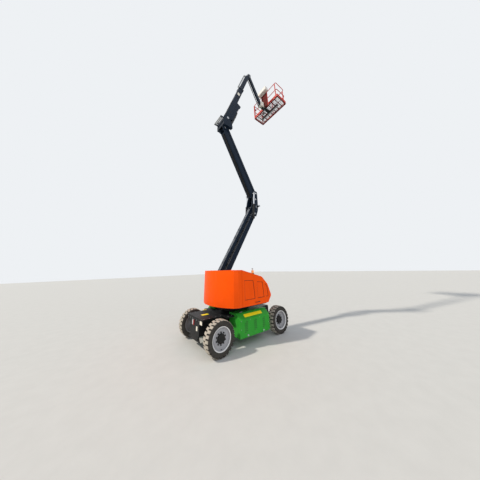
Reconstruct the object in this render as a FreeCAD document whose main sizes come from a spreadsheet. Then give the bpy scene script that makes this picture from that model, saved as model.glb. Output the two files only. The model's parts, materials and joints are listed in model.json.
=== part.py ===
# Articulating boom lift: battery chassis, slewing turntable, folding riser, telescopic boom,
# jib and railed platform. Millimetres, +X forward, +Y to the machine's left, +Z up.
# The origin is on the ground under the middle of the machine's length.
import FreeCAD, Part
import math
import os

import Sketcher

os.makedirs("parts", exist_ok=True)
doc = FreeCAD.newDocument("BoomLift")
sheet = doc.addObject("Spreadsheet::Sheet", "dim")

sizes = {
    # Running fits: pins in bores, rods in barrels, parts that seat, and parts that pass each other
    "pinFit": 0.5, "rodFit": 0.4, "seatFit": 0.3, "passGap": 6,

    # Wheels and axles
    "wheelbase": 2016, "track": 1540, "tyreDiameter": 708, "tyreWidth": 240, "tyreShoulder": 22,
    "tyreSeat": 0.8, "lugHeight": 20, "lugWide": 52, "lugCount": 20,
    "rimRadius": 237, "rimWall": 20, "rimInset": 8, "discThick": 18, "discRadius": 214,
    "hubRadius": 82, "spindleRadius": 30, "rearDish": 62, "frontDish": 92, "hubProud": 46,
    "axleDepth": 110, "axleHeight": 120, "motorRadius": 112, "motorLength": 170,
    "kingpinInset": 110, "kingpinRadius": 25, "forkGap": 190, "forkPlate": 24, "forkDepth": 100,
    "knuckleDepth": 90, "knuckleWidth": 80, "steerArmBack": 170, "steerArmIn": 70,
    "steerArmWide": 40, "steerArmThick": 22, "steerArmDrop": 60, "tieRodRadius": 18,

    # Chassis frame and battery covers, X from the rear axle
    "frameBack": 270, "frameFront": 2150, "frameWidth": 560, "frameBottom": 300, "frameTop": 640, "frameWall": 16,
    "deckThick": 36, "deckWidth": 800, "deckBack": 300, "deckFront": 1720, "wingWidth": 1240,
    "rodSlot": 40,
    "headWidth": 1060, "headThick": 30, "headTopWide": 900, "headWaist": 360, "headBottomWide": 620,
    "headBottom": 190, "lashingHalf": 230, "lashingRise": 48, "lashingRadius": 20, "coverBack": 520, "coverFront": 1550,  "coverOutside": 862,
    "coverBottom": 215, "coverBend": 590, "coverTop": 720, "coverTopOutside": 700, "coverWall": 8,
    "notchDepth": 58, "notchBottom": 350, "notchTop": 640, "notchInside": 560,
    "packLength": 880, "packHeight": 330, "packWidth": 400, "trayThick": 15,

    # Slewing ring and turntable, X from the slew axis
    "slewX": 1008, "ringOuter": 400, "ringInner": 300, "ringHeight": 70, "bearingFit": 0.4,
    "tableHub": 380, "tablePlate": 28, "tableTop": 868, "tableBack": 800, "tableTail": 400,
    "tableCorner": 240, "tableFront": 660, "tableHalfWidth": 800, "hoodHalfWidth": 860, "hoodBack": 886, "hoodFront": 702,
    "hoodTop": 1762, "hoodFrontTop": 1560, "hoodFrontTopX": 360, "hoodNoseTop": 1350,
    "hoodNoseTopX": 575, "hoodNoseBottom": 1045, "hoodToe": 560, "hoodWall": 18,
    "weightDepth": 493, "weightChamfer": 60, "weightCornerBack": 378, "tailCornerBack": 266,
    "tailRadius": 1336, "panelGap": 6,
    "channelHalf": 285, "notchWall": 60, "recessDepth": 9, "hingeRadius": 14,
    "riserPlate": 26, "riserPlateGap": 141,

    # Riser: two pairs of parallel arms that fold at the mid upright
    "riserAngle": 59.2, "upperAngle": 117.3, "riserBackX": 658, "riserPivotHeight": 1200,
    "lowerArm": 3052,
    "upperArm": 3200, "linkShift": 46, "linkRise": 270, "kneeShift": 80, "kneeRise": 620,
    "armWidth": 260, "armDepth": 170, "armWall": 8, "armEar": 30, "armEnd": 150, "pinRadius": 30,
    "lowerLinkWidth": 140, "linkDepth": 100, "linkInner": 75, "linkBar": 50, "linkEnd": 110,
    "kneePlate": 25, "kneePegRadius": 36, "kneePegReach": 150,
    "trunnionRadius": 25, "trunnionPlace": 250, "riserCylinderOut": 215, "riserBarrelRadius": 40,
    "riserRodRadius": 22, "riserBarrelLength": 575, "riserRodLength": 580, "eyeWidth": 60,
    "eyeWall": 16,

    # Head of the riser, main boom and lift cylinder
    "headPlate": 25, "headHalf": 260, "boomPivotShift": 75, "boomPivotRise": 476,
    "boomAngle": 71.1, "boomLength": 4734, "outerLength": 2980, "outerWidth": 220,
    "outerDepth": 250, "outerWall": 10, "innerWidth": 176, "innerDepth": 200, "innerWall": 8,
    "innerOverlap": 600, "collarLength": 110, "collarProud": 14, "boomEar": 24,
    "liftBaseX": 200, "liftBaseDrop": 260, "liftLugX": 1628, "liftLugDrop": 313,
    "liftNeck": 70, "boomEarRadius": 85, "cheekBack": 330, "cheekDrop": 262, "cheekGap": 6, "cheekPlate": 8,
    "liftBarrelRadius": 55, "liftRodRadius": 32, "liftBarrelLength": 1330, "liftRodLength": 1310,
    "lugPlate": 16, "liftPinRadius": 25, "earReach": 150, "earPlate": 26, "rollerRadius": 24,
    "carrierWidth": 70, "carrierDepth": 34, "carrierLength": 1480, "tipEar": 12,
    "tipReach": 200, "tipRound": 50, "headSkin": 14, "headFront": 305, "innerCheek": 24,

    # Jib, its lower link and the levelled brackets
    "jibAngle": -64, "jibPivotShift": 110, "jibPivotRise": 60, "jibLinkShift": -50,
    "jibLinkDrop": 185, "jibLength": 1750, "jibWidth": 120, "jibDepth": 140, "jibWall": 6,
    "jibEar": 14, "jibBar": 15, "jibBarDepth": 56, "jibPin": 20, "bracketPlate": 15,
    "rotatorShift": 190, "rotatorRadius": 88, "rotatorBottom": 150, "rotatorTop": 240,

    # Platform, from the middle of its floor
    "platformShift": 630, "platformFloor": 73, "platformLength": 1830, "platformDepth": 760,
    "floorFrame": 60, "floorPlate": 8, "railHeight": 1100, "midRail": 560,
    "tubeRadius": 19, "pipeRadius": 17, "railBend": 70,
    "toeHeight": 150, "toeThick": 4, "gateGap": 8, "gateLift": 12, "mountPlate": 20, "mountWidth": 150,
    "supportBeam": 90, "supportReach": 1240, "panelWidth": 420, "panelThick": 12,
    "consoleWidth": 620, "consoleDepth": 190, "consoleHeight": 230, "consoleRise": 20,
    "beaconRadius": 48, "beaconHeight": 120, "beaconFoot": 1615,
}

for row, (name, value) in enumerate(sizes.items(), start=1):
    cell = "A%d" % row
    sheet.set(cell, str(value))
    sheet.setAlias(cell, name)
doc.recompute()

subParts = []


def size(name):
    return float(sheet.get(name))


def value(expression):
    return float(sheet.evalExpression(expression))


def spread(text):
    # "armWidth/2" becomes "dim.armWidth/2", the form that a bound property needs
    words = []
    word = ""
    for letter in text + " ":
        if letter.isalnum():
            word += letter
            continue
        words.append("dim." + word if word in sizes else word)
        words.append(letter)
        word = ""
    return "".join(words).strip()


def bind(item, prop, text):
    item.setExpression(prop, spread(str(text)))


def vector(x, y, z):
    return FreeCAD.Vector(x, y, z)


def keep(item, label):
    item.Label = label
    subParts.append(item)
    return item


def pose(item, x, y, z, tilt=0.0, turn=0.0):
    # tilt lifts the piece's own X axis above the ground, turn swings it about the vertical
    about = FreeCAD.Rotation(vector(0, 0, 1), turn).multiply(FreeCAD.Rotation(vector(0, -1, 0), tilt))
    item.Placement = FreeCAD.Placement(vector(x, y, z), about)
    return item


# Primitives whose sizes and places are bound to the sheet

def block(length, width, height, x, y, z):
    item = doc.addObject("Part::Box", "Block")
    for prop, text in (("Length", length), ("Width", width), ("Height", height),
                       ("Placement.Base.x", x), ("Placement.Base.y", y), ("Placement.Base.z", z)):
        bind(item, prop, text)
    return item


def rod(radius, length, x, y, z, along="Z"):
    # A cylinder that starts at x, y, z and runs along one axis
    item = doc.addObject("Part::Cylinder", "Rod")
    turns = {"X": (vector(0, 1, 0), 90), "Y": (vector(1, 0, 0), -90), "Z": (vector(0, 0, 1), 0)}
    item.Placement = FreeCAD.Placement(vector(0, 0, 0), FreeCAD.Rotation(*turns[along]))
    for prop, text in (("Radius", radius), ("Height", length),
                       ("Placement.Base.x", x), ("Placement.Base.y", y), ("Placement.Base.z", z)):
        bind(item, prop, text)
    return item


def joined(pieces, name="Joined"):
    item = doc.addObject("Part::MultiFuse", name)
    item.Shapes = pieces
    item.Refine = True
    return item


def without(base, tools, name="Trimmed"):
    item = doc.addObject("Part::Cut", name)
    item.Base = base
    item.Tool = tools[0] if len(tools) == 1 else joined(tools, "Tools")
    return item


# Sketch-based bodies

def newBody(label):
    return keep(doc.addObject("PartDesign::Body", label), label)


def plane(body, role):
    return next(item for item in body.Origin.OriginFeatures if item.Role == role)


def sketchOn(body, role, offset="0"):
    sketch = body.newObject("Sketcher::SketchObject", body.Name + "Sketch")
    sketch.AttachmentSupport = [(plane(body, role), "")]
    sketch.MapMode = "FlatFace"
    bind(sketch, ".AttachmentOffset.Base.z", offset)
    return sketch


def tie(sketch, kind, geometry, point, text):
    number = sketch.addConstraint(Sketcher.Constraint(kind, -1, 1, geometry, point, value(spread(text))))
    sketch.setExpression("Constraints[%d]" % number, spread(text))


def outline(sketch, corners):
    # A closed run of straight lines through corners, each a pair of sizes from the sketch's origin
    places = [vector(value(spread(x)), value(spread(y)), 0) for x, y in corners]
    count = len(places)
    first = sketch.GeometryCount
    for number, place in enumerate(places):
        sketch.addGeometry(Part.LineSegment(place, places[(number + 1) % count]))
    for number in range(count):
        following = first + (number + 1) % count
        sketch.addConstraint(Sketcher.Constraint("Coincident", first + number, 2, following, 1))
    for number, (x, y) in enumerate(corners):
        tie(sketch, "DistanceX", first + number, 1, x)
        tie(sketch, "DistanceY", first + number, 1, y)


def circle(sketch, radius, x, y):
    place = vector(value(spread(x)), value(spread(y)), 0)
    number = sketch.addGeometry(Part.Circle(place, vector(0, 0, 1), value(spread(radius))))
    constraint = sketch.addConstraint(Sketcher.Constraint("Radius", number, value(spread(radius))))
    sketch.setExpression("Constraints[%d]" % constraint, spread(radius))
    tie(sketch, "DistanceX", number, 3, x)
    tie(sketch, "DistanceY", number, 3, y)


def pad(body, sketch, length, side="One side", back=False):
    item = body.newObject("PartDesign::Pad", body.Name + "Pad")
    item.Profile = sketch
    bind(item, "Length", length)
    item.SideType = side
    item.Reversed = back
    return item


def pocket(body, sketch, length, side="One side", back=False):
    item = body.newObject("PartDesign::Pocket", body.Name + "Pocket")
    item.Profile = sketch
    bind(item, "Length", length)
    item.SideType = side
    item.Reversed = back
    return item


def revolved(body, sketch):
    # A full turn about the sketch's upright axis
    item = body.newObject("PartDesign::Revolution", body.Name + "Turned")
    item.Profile = sketch
    item.ReferenceAxis = (sketch, ["V_Axis"])
    item.Angle = 360
    return item


def mirrored(body, features, role="XZ_Plane"):
    item = body.newObject("PartDesign::Mirrored", body.Name + "Mirror")
    item.Originals = features
    item.MirrorPlane = (plane(body, role), [""])
    body.Tip = item
    return item


def rounded(body, base, edges, radius):
    item = body.newObject("PartDesign::Fillet", body.Name + "Round")
    item.Base = (base, edges)
    bind(item, "Radius", radius)
    body.Tip = item
    return item


def edgesAlong(item, direction, test):
    # Names of the straight edges that run along a direction and whose middle passes the test
    names = []
    for number, edge in enumerate(item.Shape.Edges, start=1):
        if len(edge.Vertexes) != 2:
            continue
        run = edge.Vertexes[1].Point.sub(edge.Vertexes[0].Point)
        if run.Length < 1 or abs(run.normalize().dot(direction)) < 0.999:
            continue
        if test(edge.CenterOfMass):
            names.append("Edge%d" % number)
    return names


# Where the pivots stand, worked out from the driving sizes

wheelRadius = size("tyreDiameter") / 2


def along(start, length, angle):
    bend = math.radians(angle)
    return (start[0] + length * math.cos(bend), start[1] + length * math.sin(bend))


def shifted(start, x, z):
    return (start[0] + x, start[1] + z)


def turnedBy(start, x, z, angle):
    return along(along(start, x, angle), z, angle + 90)


leanBack = size("upperAngle")
basePivot = (size("slewX") - size("riserBackX"), size("riserPivotHeight"))
kneePivot = along(basePivot, size("lowerArm"), size("riserAngle"))
upperPivot = shifted(kneePivot, size("kneeShift"), size("kneeRise"))
headPivot = along(upperPivot, size("upperArm"), leanBack)
boomPivot = shifted(headPivot, size("boomPivotShift"), size("boomPivotRise"))
tipPivot = along(boomPivot, size("boomLength"), size("boomAngle"))
jibPivot = shifted(tipPivot, size("jibPivotShift"), size("jibPivotRise"))
jibEnd = along(jibPivot, size("jibLength"), size("jibAngle"))
rotatorAxis = shifted(jibEnd, size("rotatorShift"), 0)
platformMiddle = shifted(rotatorAxis, size("platformShift"), size("platformFloor"))
riserLugLow = along(kneePivot, -size("trunnionPlace"), size("riserAngle"))
riserLugHigh = along(upperPivot, size("trunnionPlace"), leanBack)
liftBase = shifted(boomPivot, size("liftBaseX"), -size("liftBaseDrop"))
liftLug = turnedBy(boomPivot, size("liftLugX"), -size("liftLugDrop"), size("boomAngle"))

# The origin lies halfway between the back of the rear tyres and the front of the platform
platformFront = platformMiddle[0] + size("platformDepth") / 2 + size("toeThick") + size("seatFit")
rearAxle = (wheelRadius - platformFront) / 2
slewAxis = rearAxle + size("slewX")


def span(start, end):
    # Length and angle of the line from one pivot to another
    run, rise = end[0] - start[0], end[1] - start[1]
    return math.hypot(run, rise), math.degrees(math.atan2(rise, run))


riserSpan, riserLean = span(riserLugLow, riserLugHigh)
liftSpan, liftLean = span(liftBase, liftLug)


def atPivot(item, pivot, tilt=0.0):
    return pose(item, rearAxle + pivot[0], 0, pivot[1], tilt)


# Wheels: solid tyres on dished rims, rims closed by a hub boss with a blind spindle bore

# Columns: name, X from the rear axle, side (+1 left, -1 right), how far the disc is dished
wheels = [
    ("rear_left", "0", 1, "rearDish"),
    ("rear_right", "0", -1, "rearDish"),
    ("front_left", "wheelbase", 1, "frontDish"),
    ("front_right", "wheelbase", -1, "frontDish"),
]

# The tyre: a many-sided carcass with two staggered rows of lugs, the same on all four wheels
tyreShape = doc.addObject("PartDesign::Body", "TyreShape")
rings = []
tread = "tyreDiameter/2-lugHeight"
for radius, place in ((tread + "-tyreShoulder*3/2", "-tyreWidth/2"), (tread, "-tyreWidth/2+tyreShoulder"),
                      (tread, "tyreWidth/2-tyreShoulder"), (tread + "-tyreShoulder*3/2", "tyreWidth/2")):
    ring = sketchOn(tyreShape, "XZ_Plane", place)
    reach = value(spread(radius))
    turns = [2 * math.pi * (step + 0.5) / (2 * size("lugCount")) for step in range(int(2 * size("lugCount")))]
    outline(ring, [("%.4f" % (reach * math.cos(turn)), "%.4f" % (reach * math.sin(turn))) for turn in turns])
    rings.append(ring)
carcass = tyreShape.newObject("PartDesign::AdditiveLoft", "Carcass")
carcass.Profile = rings[0]
carcass.Sections = rings[1:]
carcass.Ruled = True
bead = sketchOn(tyreShape, "XZ_Plane", "-tyreWidth/2-1")
circle(bead, "rimRadius+tyreSeat", "0", "0")
pocket(tyreShape, bead, "tyreWidth+2", back=True)
for side, turn in (("", 0), ("-", 180 / size("lugCount"))):
    section = sketchOn(tyreShape, "XY_Plane")
    section.AttachmentOffset = FreeCAD.Placement(vector(0, 0, 0), FreeCAD.Rotation(vector(0, 1, 0), turn))
    outline(section, [(x, side + "(" + y + ")") for x, y in (
        (tread + "-12", "-4"), ("tyreDiameter/2", "-4"), ("tyreDiameter/2", "tyreWidth/2-lugHeight"),
        ("tyreDiameter/2-lugHeight", "tyreWidth/2-1"), (tread + "-tyreShoulder*2", "tyreWidth/2-1"))])
    lug = pad(tyreShape, section, "lugWide", side="Symmetric")
    row = tyreShape.newObject("PartDesign::PolarPattern", "LugRow")
    row.Originals = [lug]
    row.Axis = (plane(tyreShape, "Y_Axis"), [""])
    row.Angle = 360
    bind(row, "Occurrences", "lugCount")
    tyreShape.Tip = row

for name, place, side, dish in wheels:
    wheelX = rearAxle + value(spread(place))
    wheelY = side * size("track") / 2
    facing = 0 if side > 0 else 180

    tyre = doc.addObject("Part::Compound", "Tyre")
    tyre.Links = [tyreShape]
    keep(pose(tyre, wheelX, wheelY, wheelRadius, 0, facing), "tyre_" + name)

    rim = newBody("rim_" + name)
    section = sketchOn(rim, "XY_Plane")
    discOut = "tyreWidth/2-" + dish
    outline(section, [
        ("rimRadius", "-tyreWidth/2+rimInset"),
        ("rimRadius", "tyreWidth/2-rimInset"),
        ("discRadius", "tyreWidth/2-rimInset"),
        ("discRadius-discThick", discOut),
        ("hubRadius", discOut),
        ("hubRadius", discOut + "+hubProud"),
        ("0", discOut + "+hubProud"),
        ("0", discOut + "+hubProud-discThick"),
        ("spindleRadius+pinFit", discOut + "+hubProud-discThick"),
        ("spindleRadius+pinFit", discOut + "-discThick*3"),
        ("hubRadius", discOut + "-discThick*3"),
        ("hubRadius", discOut + "-discThick"),
        ("discRadius", discOut + "-discThick"),
        ("rimRadius-rimWall", "-tyreWidth/2+rimInset"),
    ])
    revolved(rim, section)
    pose(rim, wheelX, wheelY, wheelRadius, 0, facing)


# Rear axle: fixed beam with a drive motor housing and a spindle at each end

def spindleEnd(dish):
    # How far a spindle may reach from the wheel's middle before the closed end of its bore
    return "tyreWidth/2-%s+hubProud-discThick-seatFit" % dish


beam = block("axleDepth", "track-tyreWidth", "axleHeight", "-axleDepth/2",
             "-(track-tyreWidth)/2", "tyreDiameter/2-axleHeight/2")
motors = [rod("motorRadius", "motorLength", "0", start, "tyreDiameter/2", "Y")
          for start in ("-(track-tyreWidth)/2-passGap", "(track-tyreWidth)/2+passGap-motorLength")]
spindles = rod("spindleRadius", "track+2*(" + spindleEnd("rearDish") + ")", "0",
               "-track/2-(" + spindleEnd("rearDish") + ")", "tyreDiameter/2", "Y")
rearAxleBeam = keep(joined([beam] + motors + [spindles], "RearAxle"), "rear_axle")
pose(rearAxleBeam, rearAxle, 0, 0)

# Front axle: beam with a fork at each end that holds the kingpin top and bottom

kingpinY = "track/2-kingpinInset"
pieces = [block("axleDepth", "2*(" + kingpinY + "-knuckleWidth)", "axleHeight", "-axleDepth/2",
                "-(" + kingpinY + "-knuckleWidth)", "-axleHeight/2")]
bores = []
for side in (1, -1):
    wide = "knuckleWidth+kingpinRadius*2+20"
    inner = "(" + kingpinY + "-knuckleWidth-20)"
    start = inner if side > 0 else "-" + inner + "-(" + wide + ")"
    for low in ("forkGap/2", "-forkGap/2-forkPlate"):
        pieces.append(block("forkDepth", wide, "forkPlate", "-forkDepth/2", start, low))
    webStart = inner if side > 0 else "-" + inner + "-forkPlate"
    pieces.append(block("forkDepth", "forkPlate", "forkGap+2*forkPlate", "-forkDepth/2", webStart,
                        "-forkGap/2-forkPlate"))
    place = kingpinY if side > 0 else "-(" + kingpinY + ")"
    bores.append(rod("kingpinRadius+pinFit", "forkGap+4*forkPlate", "0", place, "-forkGap/2-2*forkPlate"))
frontAxleBeam = keep(without(joined(pieces), bores, "FrontAxle"), "front_axle")
pose(frontAxleBeam, rearAxle + size("wheelbase"), 0, wheelRadius)

# Steering knuckles: a block on the kingpin, a spindle and a steering arm that points back

for name, side in (("left", 1), ("right", -1)):
    reach = "kingpinInset+" + spindleEnd("frontDish")
    spindleStart = "0" if side > 0 else "-(" + reach + ")"
    armStart = "-steerArmIn-steerArmWide/2" if side > 0 else "0"
    pieces = [
        block("knuckleDepth", "knuckleWidth", "forkGap-2*bearingFit", "-knuckleDepth/2",
              "-knuckleWidth/2", "-forkGap/2+bearingFit"),
        rod("kingpinRadius", "forkGap+2*forkPlate", "0", "0", "-forkGap/2-forkPlate"),
        rod("spindleRadius", reach, "0", spindleStart, "0", "Y"),
        block("steerArmBack+steerArmWide/2", "steerArmWide", "steerArmThick",
              "-steerArmBack-steerArmWide/2", "-steerArmWide/2", "-steerArmDrop"),
        block("steerArmWide", "steerArmIn+steerArmWide/2", "steerArmThick",
              "-steerArmBack-steerArmWide/2", armStart, "-steerArmDrop"),
    ]
    knuckle = keep(joined(pieces, "Knuckle"), "knuckle_" + name)
    pose(knuckle, rearAxle + size("wheelbase"), side * value(spread(kingpinY)), wheelRadius)

# Tie rod: a bar that lies on the ends of both steering arms
tieRodY = "(" + kingpinY + "-steerArmIn)"
barBottom = "-steerArmDrop+steerArmThick+bearingFit"
pieces = [rod("tieRodRadius", "2*" + tieRodY, "0", "-" + tieRodY, barBottom + "+tieRodRadius+2", "Y")]
for place in (tieRodY, "-" + tieRodY):
    pieces.append(rod("tieRodRadius+4", "2*tieRodRadius+4", "0", place, barBottom))
tieRod = keep(joined(pieces, "TieRod"), "tie_rod")
pose(tieRod, rearAxle + size("wheelbase") - size("steerArmBack"), 0, wheelRadius)

# Chassis: a box frame with a deck, and a shaped plate across the rear end

box = block("frameFront+frameBack", "frameWidth", "frameTop-frameBottom", "-frameBack",
            "-frameWidth/2", "frameBottom")
room = block("frameFront+frameBack-2*headThick", "frameWidth-2*headThick",
             "frameTop-frameBottom-2*frameWall", "-frameBack+headThick", "-frameWidth/2+headThick",
             "frameBottom+frameWall")
deck = block("deckFront-deckBack", "deckWidth", "deckThick", "deckBack", "-deckWidth/2",
             "frameTop")
wings = [block(length, "wingWidth", "deckThick", start, "-wingWidth/2", "frameTop")
         for start, length in (("deckBack", "coverBack-seatFit-deckBack"),
                               ("coverFront+seatFit", "deckFront-coverFront-seatFit"))]
rearDeck = block("frameBack+deckBack", "headTopWide", "deckThick", "-frameBack", "-headTopWide/2",
                 "frameTop")
axleGaps = [
    block("axleDepth+2*seatFit", "track", "axleHeight+2*seatFit", place + "-axleDepth/2-seatFit",
          "-track/2", "tyreDiameter/2-axleHeight/2-seatFit") for place in ("0", "wheelbase")]
axleGaps.append(block("2*(tieRodRadius+rodSlot/2)", "track", "2*tieRodRadius+2*rodSlot",
                      "wheelbase-steerArmBack-tieRodRadius-rodSlot/2", "-track/2",
                      "tyreDiameter/2-steerArmDrop"))
head = doc.addObject("PartDesign::Body", "EndPlate")
section = sketchOn(head, "YZ_Plane")
half = "headTopWide/2"
outline(section, [
    ("-" + half, "frameTop"), ("-headWaist/2", "frameTop-headWaist/2"),
    ("-headWaist/2", "headBottom+headWaist/2"), ("-headBottomWide/2", "headBottom"),
    ("headBottomWide/2", "headBottom"), ("headWaist/2", "headBottom+headWaist/2"),
    ("headWaist/2", "frameTop-headWaist/2"), (half, "frameTop"),
])
for place in ("-lashingHalf", "lashingHalf"):
    circle(section, "lashingRadius", place, "headBottom+lashingRise")
pad(head, section, "headThick")
doc.recompute()
head.Placement = FreeCAD.Placement(vector(-size("frameBack"), 0, 0), FreeCAD.Rotation())
frame = keep(without(joined([without(box, [room]), deck, rearDeck, head] + wings), axleGaps, "Chassis"),
             "chassis_frame")
pose(frame, rearAxle, 0, 0)

# Battery packs on trays and the bent sheet covers over them

for name, side in (("left", 1), ("right", -1)):
    cover = newBody("battery_cover_" + name)
    section = sketchOn(cover, "YZ_Plane", "coverBack")
    outline(section, [
        ("deckWidth/2+seatFit", "coverBottom"), ("coverOutside", "coverBottom"),
        ("coverOutside", "coverBend"), ("coverTopOutside", "coverTop"),
        ("deckWidth/2+seatFit", "coverTop"),
    ])
    pad(cover, section, "coverFront-coverBack")
    section = sketchOn(cover, "XZ_Plane", "-coverOutside-1")
    outline(section, [
        ("coverBack-1", "notchBottom"), ("coverBack+notchDepth", "notchBottom"),
        ("coverBack+notchDepth", "notchTop-notchDepth"), ("coverBack-1", "notchTop"),
    ])
    pocket(cover, section, "coverOutside-notchInside+1", back=False)
    section = sketchOn(cover, "YZ_Plane", "coverBack+notchDepth+coverWall")
    outline(section, [
        ("deckWidth/2+seatFit-1", "coverBottom+coverWall"),
        ("coverOutside-coverWall", "coverBottom+coverWall"),
        ("coverOutside-coverWall", "coverBend-coverWall/2"),
        ("coverTopOutside-coverWall/2", "coverTop-coverWall"),
        ("deckWidth/2+seatFit-1", "coverTop-coverWall"),
    ])
    pocket(cover, section, "coverFront-coverBack-notchDepth-2*coverWall", back=True)
    pose(cover, rearAxle, 0, 0)
    if side < 0:
        doc.recompute()
        mirroredCover = doc.addObject("Part::Mirroring", "CoverMirror")
        mirroredCover.Source = cover
        mirroredCover.Normal = vector(0, 1, 0)
        subParts.remove(cover)
        cover.Label = "cover_shape"
        keep(mirroredCover, "battery_cover_" + name)

packY = "deckWidth/2+30"
packs = [block("packLength", "packWidth", "packHeight", "(coverBack+coverFront-packLength)/2", start,
               "coverBottom+coverWall+seatFit")
         for start in (packY, "-(" + packY + ")-packWidth")]
packPair = keep(joined(packs, "Packs"), "battery_packs")
pose(packPair, rearAxle, 0, 0)

# Slewing ring, fixed to the deck
ringBottom = "frameTop+deckThick+seatFit"
ring = without(rod("ringOuter", "ringHeight", "0", "0", ringBottom),
               [rod("ringInner", "ringHeight+2", "0", "0", ringBottom + "-1")], "Ring")
keep(ring, "slew_ring")
pose(ring, slewAxis, 0, 0)

# Turntable: hub, base plate and the two upright plates that hold the riser's base pins

hubBottom = ringBottom + "+ringHeight+bearingFit"
table = newBody("turntable_frame")
section = sketchOn(table, "XY_Plane", "tableTop-tablePlate")
outline(section, [
    ("-tableBack", "-tableTail"), ("-tableBack+tableCorner", "-tableHalfWidth+weightChamfer"),
    ("-tableBack+tableCorner+weightChamfer", "-tableHalfWidth"), ("tableFront-weightChamfer*2", "-tableHalfWidth"),
    ("tableFront", "-channelHalf"), ("tableFront", "channelHalf"),
    ("tableFront-weightChamfer*2", "tableHalfWidth"),
    ("-tableBack+tableCorner+weightChamfer", "tableHalfWidth"),
    ("-tableBack+tableCorner", "tableHalfWidth-weightChamfer"), ("-tableBack", "tableTail"),
])
pad(table, section, "tablePlate")
section = sketchOn(table, "XY_Plane", hubBottom)
circle(section, "tableHub", "0", "0")
pad(table, section, "tableTop-tablePlate-(" + hubBottom + ")")
section = sketchOn(table, "XZ_Plane", "riserPlateGap")
outline(section, [
    ("-tableBack+40", "tableTop"), ("channelHalf", "tableTop"),
    ("channelHalf", "tableTop+60"), ("-riserBackX+130", "riserPivotHeight+linkRise+40"),
    ("-riserBackX+60", "riserPivotHeight+linkRise+90"),
    ("-riserBackX-80", "riserPivotHeight+linkRise+90"),
])
plates = pad(table, section, "riserPlate")
mirrored(table, [plates])
for x, z in (("-riserBackX", "riserPivotHeight"),
             ("-riserBackX-linkShift", "riserPivotHeight+linkRise")):
    section = sketchOn(table, "XZ_Plane")
    circle(section, "pinRadius", x, z)
    table.Tip = pad(table, section, "2*(riserPlateGap+riserPlate)", side="Symmetric")
pose(table, slewAxis, 0, 0)

# Counterweight: a full-width casting with an arc-shaped tail and a notch for the riser

weightBody = doc.addObject("PartDesign::Body", "WeightBody")
section = sketchOn(weightBody, "XY_Plane", "tableTop+seatFit")
wide = "hoodHalfWidth"
outline(section, [
    ("-hoodBack", "-" + wide + "+weightChamfer"),
    ("-hoodBack+tailCornerBack", "-" + wide + "+weightChamfer"),
    ("-hoodBack+weightCornerBack", "-" + wide), ("-hoodBack+weightDepth", "-" + wide),
    ("-hoodBack+weightDepth", "-channelHalf"), ("-hoodBack+notchWall", "-channelHalf"),
    ("-hoodBack+notchWall", "channelHalf"), ("-hoodBack+weightDepth", "channelHalf"),
    ("-hoodBack+weightDepth", wide), ("-hoodBack+weightCornerBack", wide),
    ("-hoodBack+tailCornerBack", wide + "-weightChamfer"), ("-hoodBack", wide + "-weightChamfer"),
])
pad(weightBody, section, "hoodTop-tableTop-seatFit")
weight = doc.addObject("Part::MultiCommon", "Counterweight")
weight.Shapes = [weightBody, rod("tailRadius", "hoodTop", "tailRadius-hoodBack", "0", "0")]
weight.Refine = True
keep(weight, "counterweight")
pose(weight, slewAxis, 0, 0)

# Hoods: hollow side panels with a sloping top and a slanted nose, hinged at the top inner edge


def hoodOutline(sketch, inset):
    back = "-hoodBack+weightDepth+panelGap"
    outline(sketch, [
        (back + "+" + inset, "tableTop+seatFit+" + inset),
        ("hoodToe-" + inset, "tableTop+seatFit+" + inset),
        ("hoodFront-" + inset, "hoodNoseBottom"),
        ("hoodNoseTopX-" + inset, "hoodNoseTop-" + inset),
        ("hoodFrontTopX-" + inset, "hoodFrontTop-" + inset),
        (back + "+" + inset, "hoodTop-" + inset),
    ])


# Columns: back, front, bottom, top at the back and top at the front of each shallow panel
panelTable = [("-305", "15", "1015", "1500", "1480"), ("150", "370", "1020", "1440", "1420"),
              ("470", "550", "1025", "1370", "1300")]


def hoodPanels(hood):
    section = sketchOn(hood, "XZ_Plane", "hoodHalfWidth-recessDepth")
    for back, front, low, high, highFront in panelTable:
        outline(section, [(back, low), (front + "+(%s-%s)/10" % (highFront, low), low),
                          (front, highFront), (back, high)])
    pocket(hood, section, "recessDepth+1", back=True)


hoodTopX = "-hoodBack+weightDepth+panelGap"
topRun, topFall = span((value(spread(hoodTopX)), -size("hoodTop")),
                       (size("hoodFrontTopX"), -size("hoodFrontTop")))
for name, side in (("right", -1), ("left", 1)):
    hood = doc.addObject("PartDesign::Body", "HoodShell")
    section = sketchOn(hood, "XZ_Plane", "channelHalf+panelGap")
    hoodOutline(section, "0")
    pad(hood, section, "hoodHalfWidth-channelHalf-panelGap")
    section = sketchOn(hood, "XZ_Plane", "channelHalf")
    hoodOutline(section, "hoodWall")
    pocket(hood, section, "hoodHalfWidth-channelHalf-hoodWall", back=True)
    hoodPanels(hood)
    tube = rod("hingeRadius", "%.3f-4*hingeRadius" % topRun, hoodTopX + "+2*hingeRadius",
               "-channelHalf-panelGap",
               "hoodTop-2*hingeRadius*(hoodTop-hoodFrontTop)/(hoodFrontTopX-(%s))" % hoodTopX, "X")
    tube.Placement.Rotation = FreeCAD.Rotation(vector(0, 1, 0), 90 + topFall)
    hood = pose(joined([hood, tube], "Hood"), slewAxis, 0, 0)
    if side > 0:
        doc.recompute()
        mirroredHood = doc.addObject("Part::Mirroring", "HoodMirror")
        mirroredHood.Source = hood
        mirroredHood.Normal = vector(0, 1, 0)
        hood = mirroredHood
    keep(hood, "hood_" + name)

# Amber beacon on a stalk on the turntable's front
beacon = keep(joined([
    rod("beaconRadius", "beaconHeight", "0", "0", "beaconFoot"),
    rod("beaconRadius/3", "beaconFoot-tableTop-seatFit", "0", "0", "tableTop+seatFit"),
], "Beacon"), "beacon")
pose(beacon, slewAxis + size("tableFront") - 80, 60 - size("channelHalf"), 0)


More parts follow.
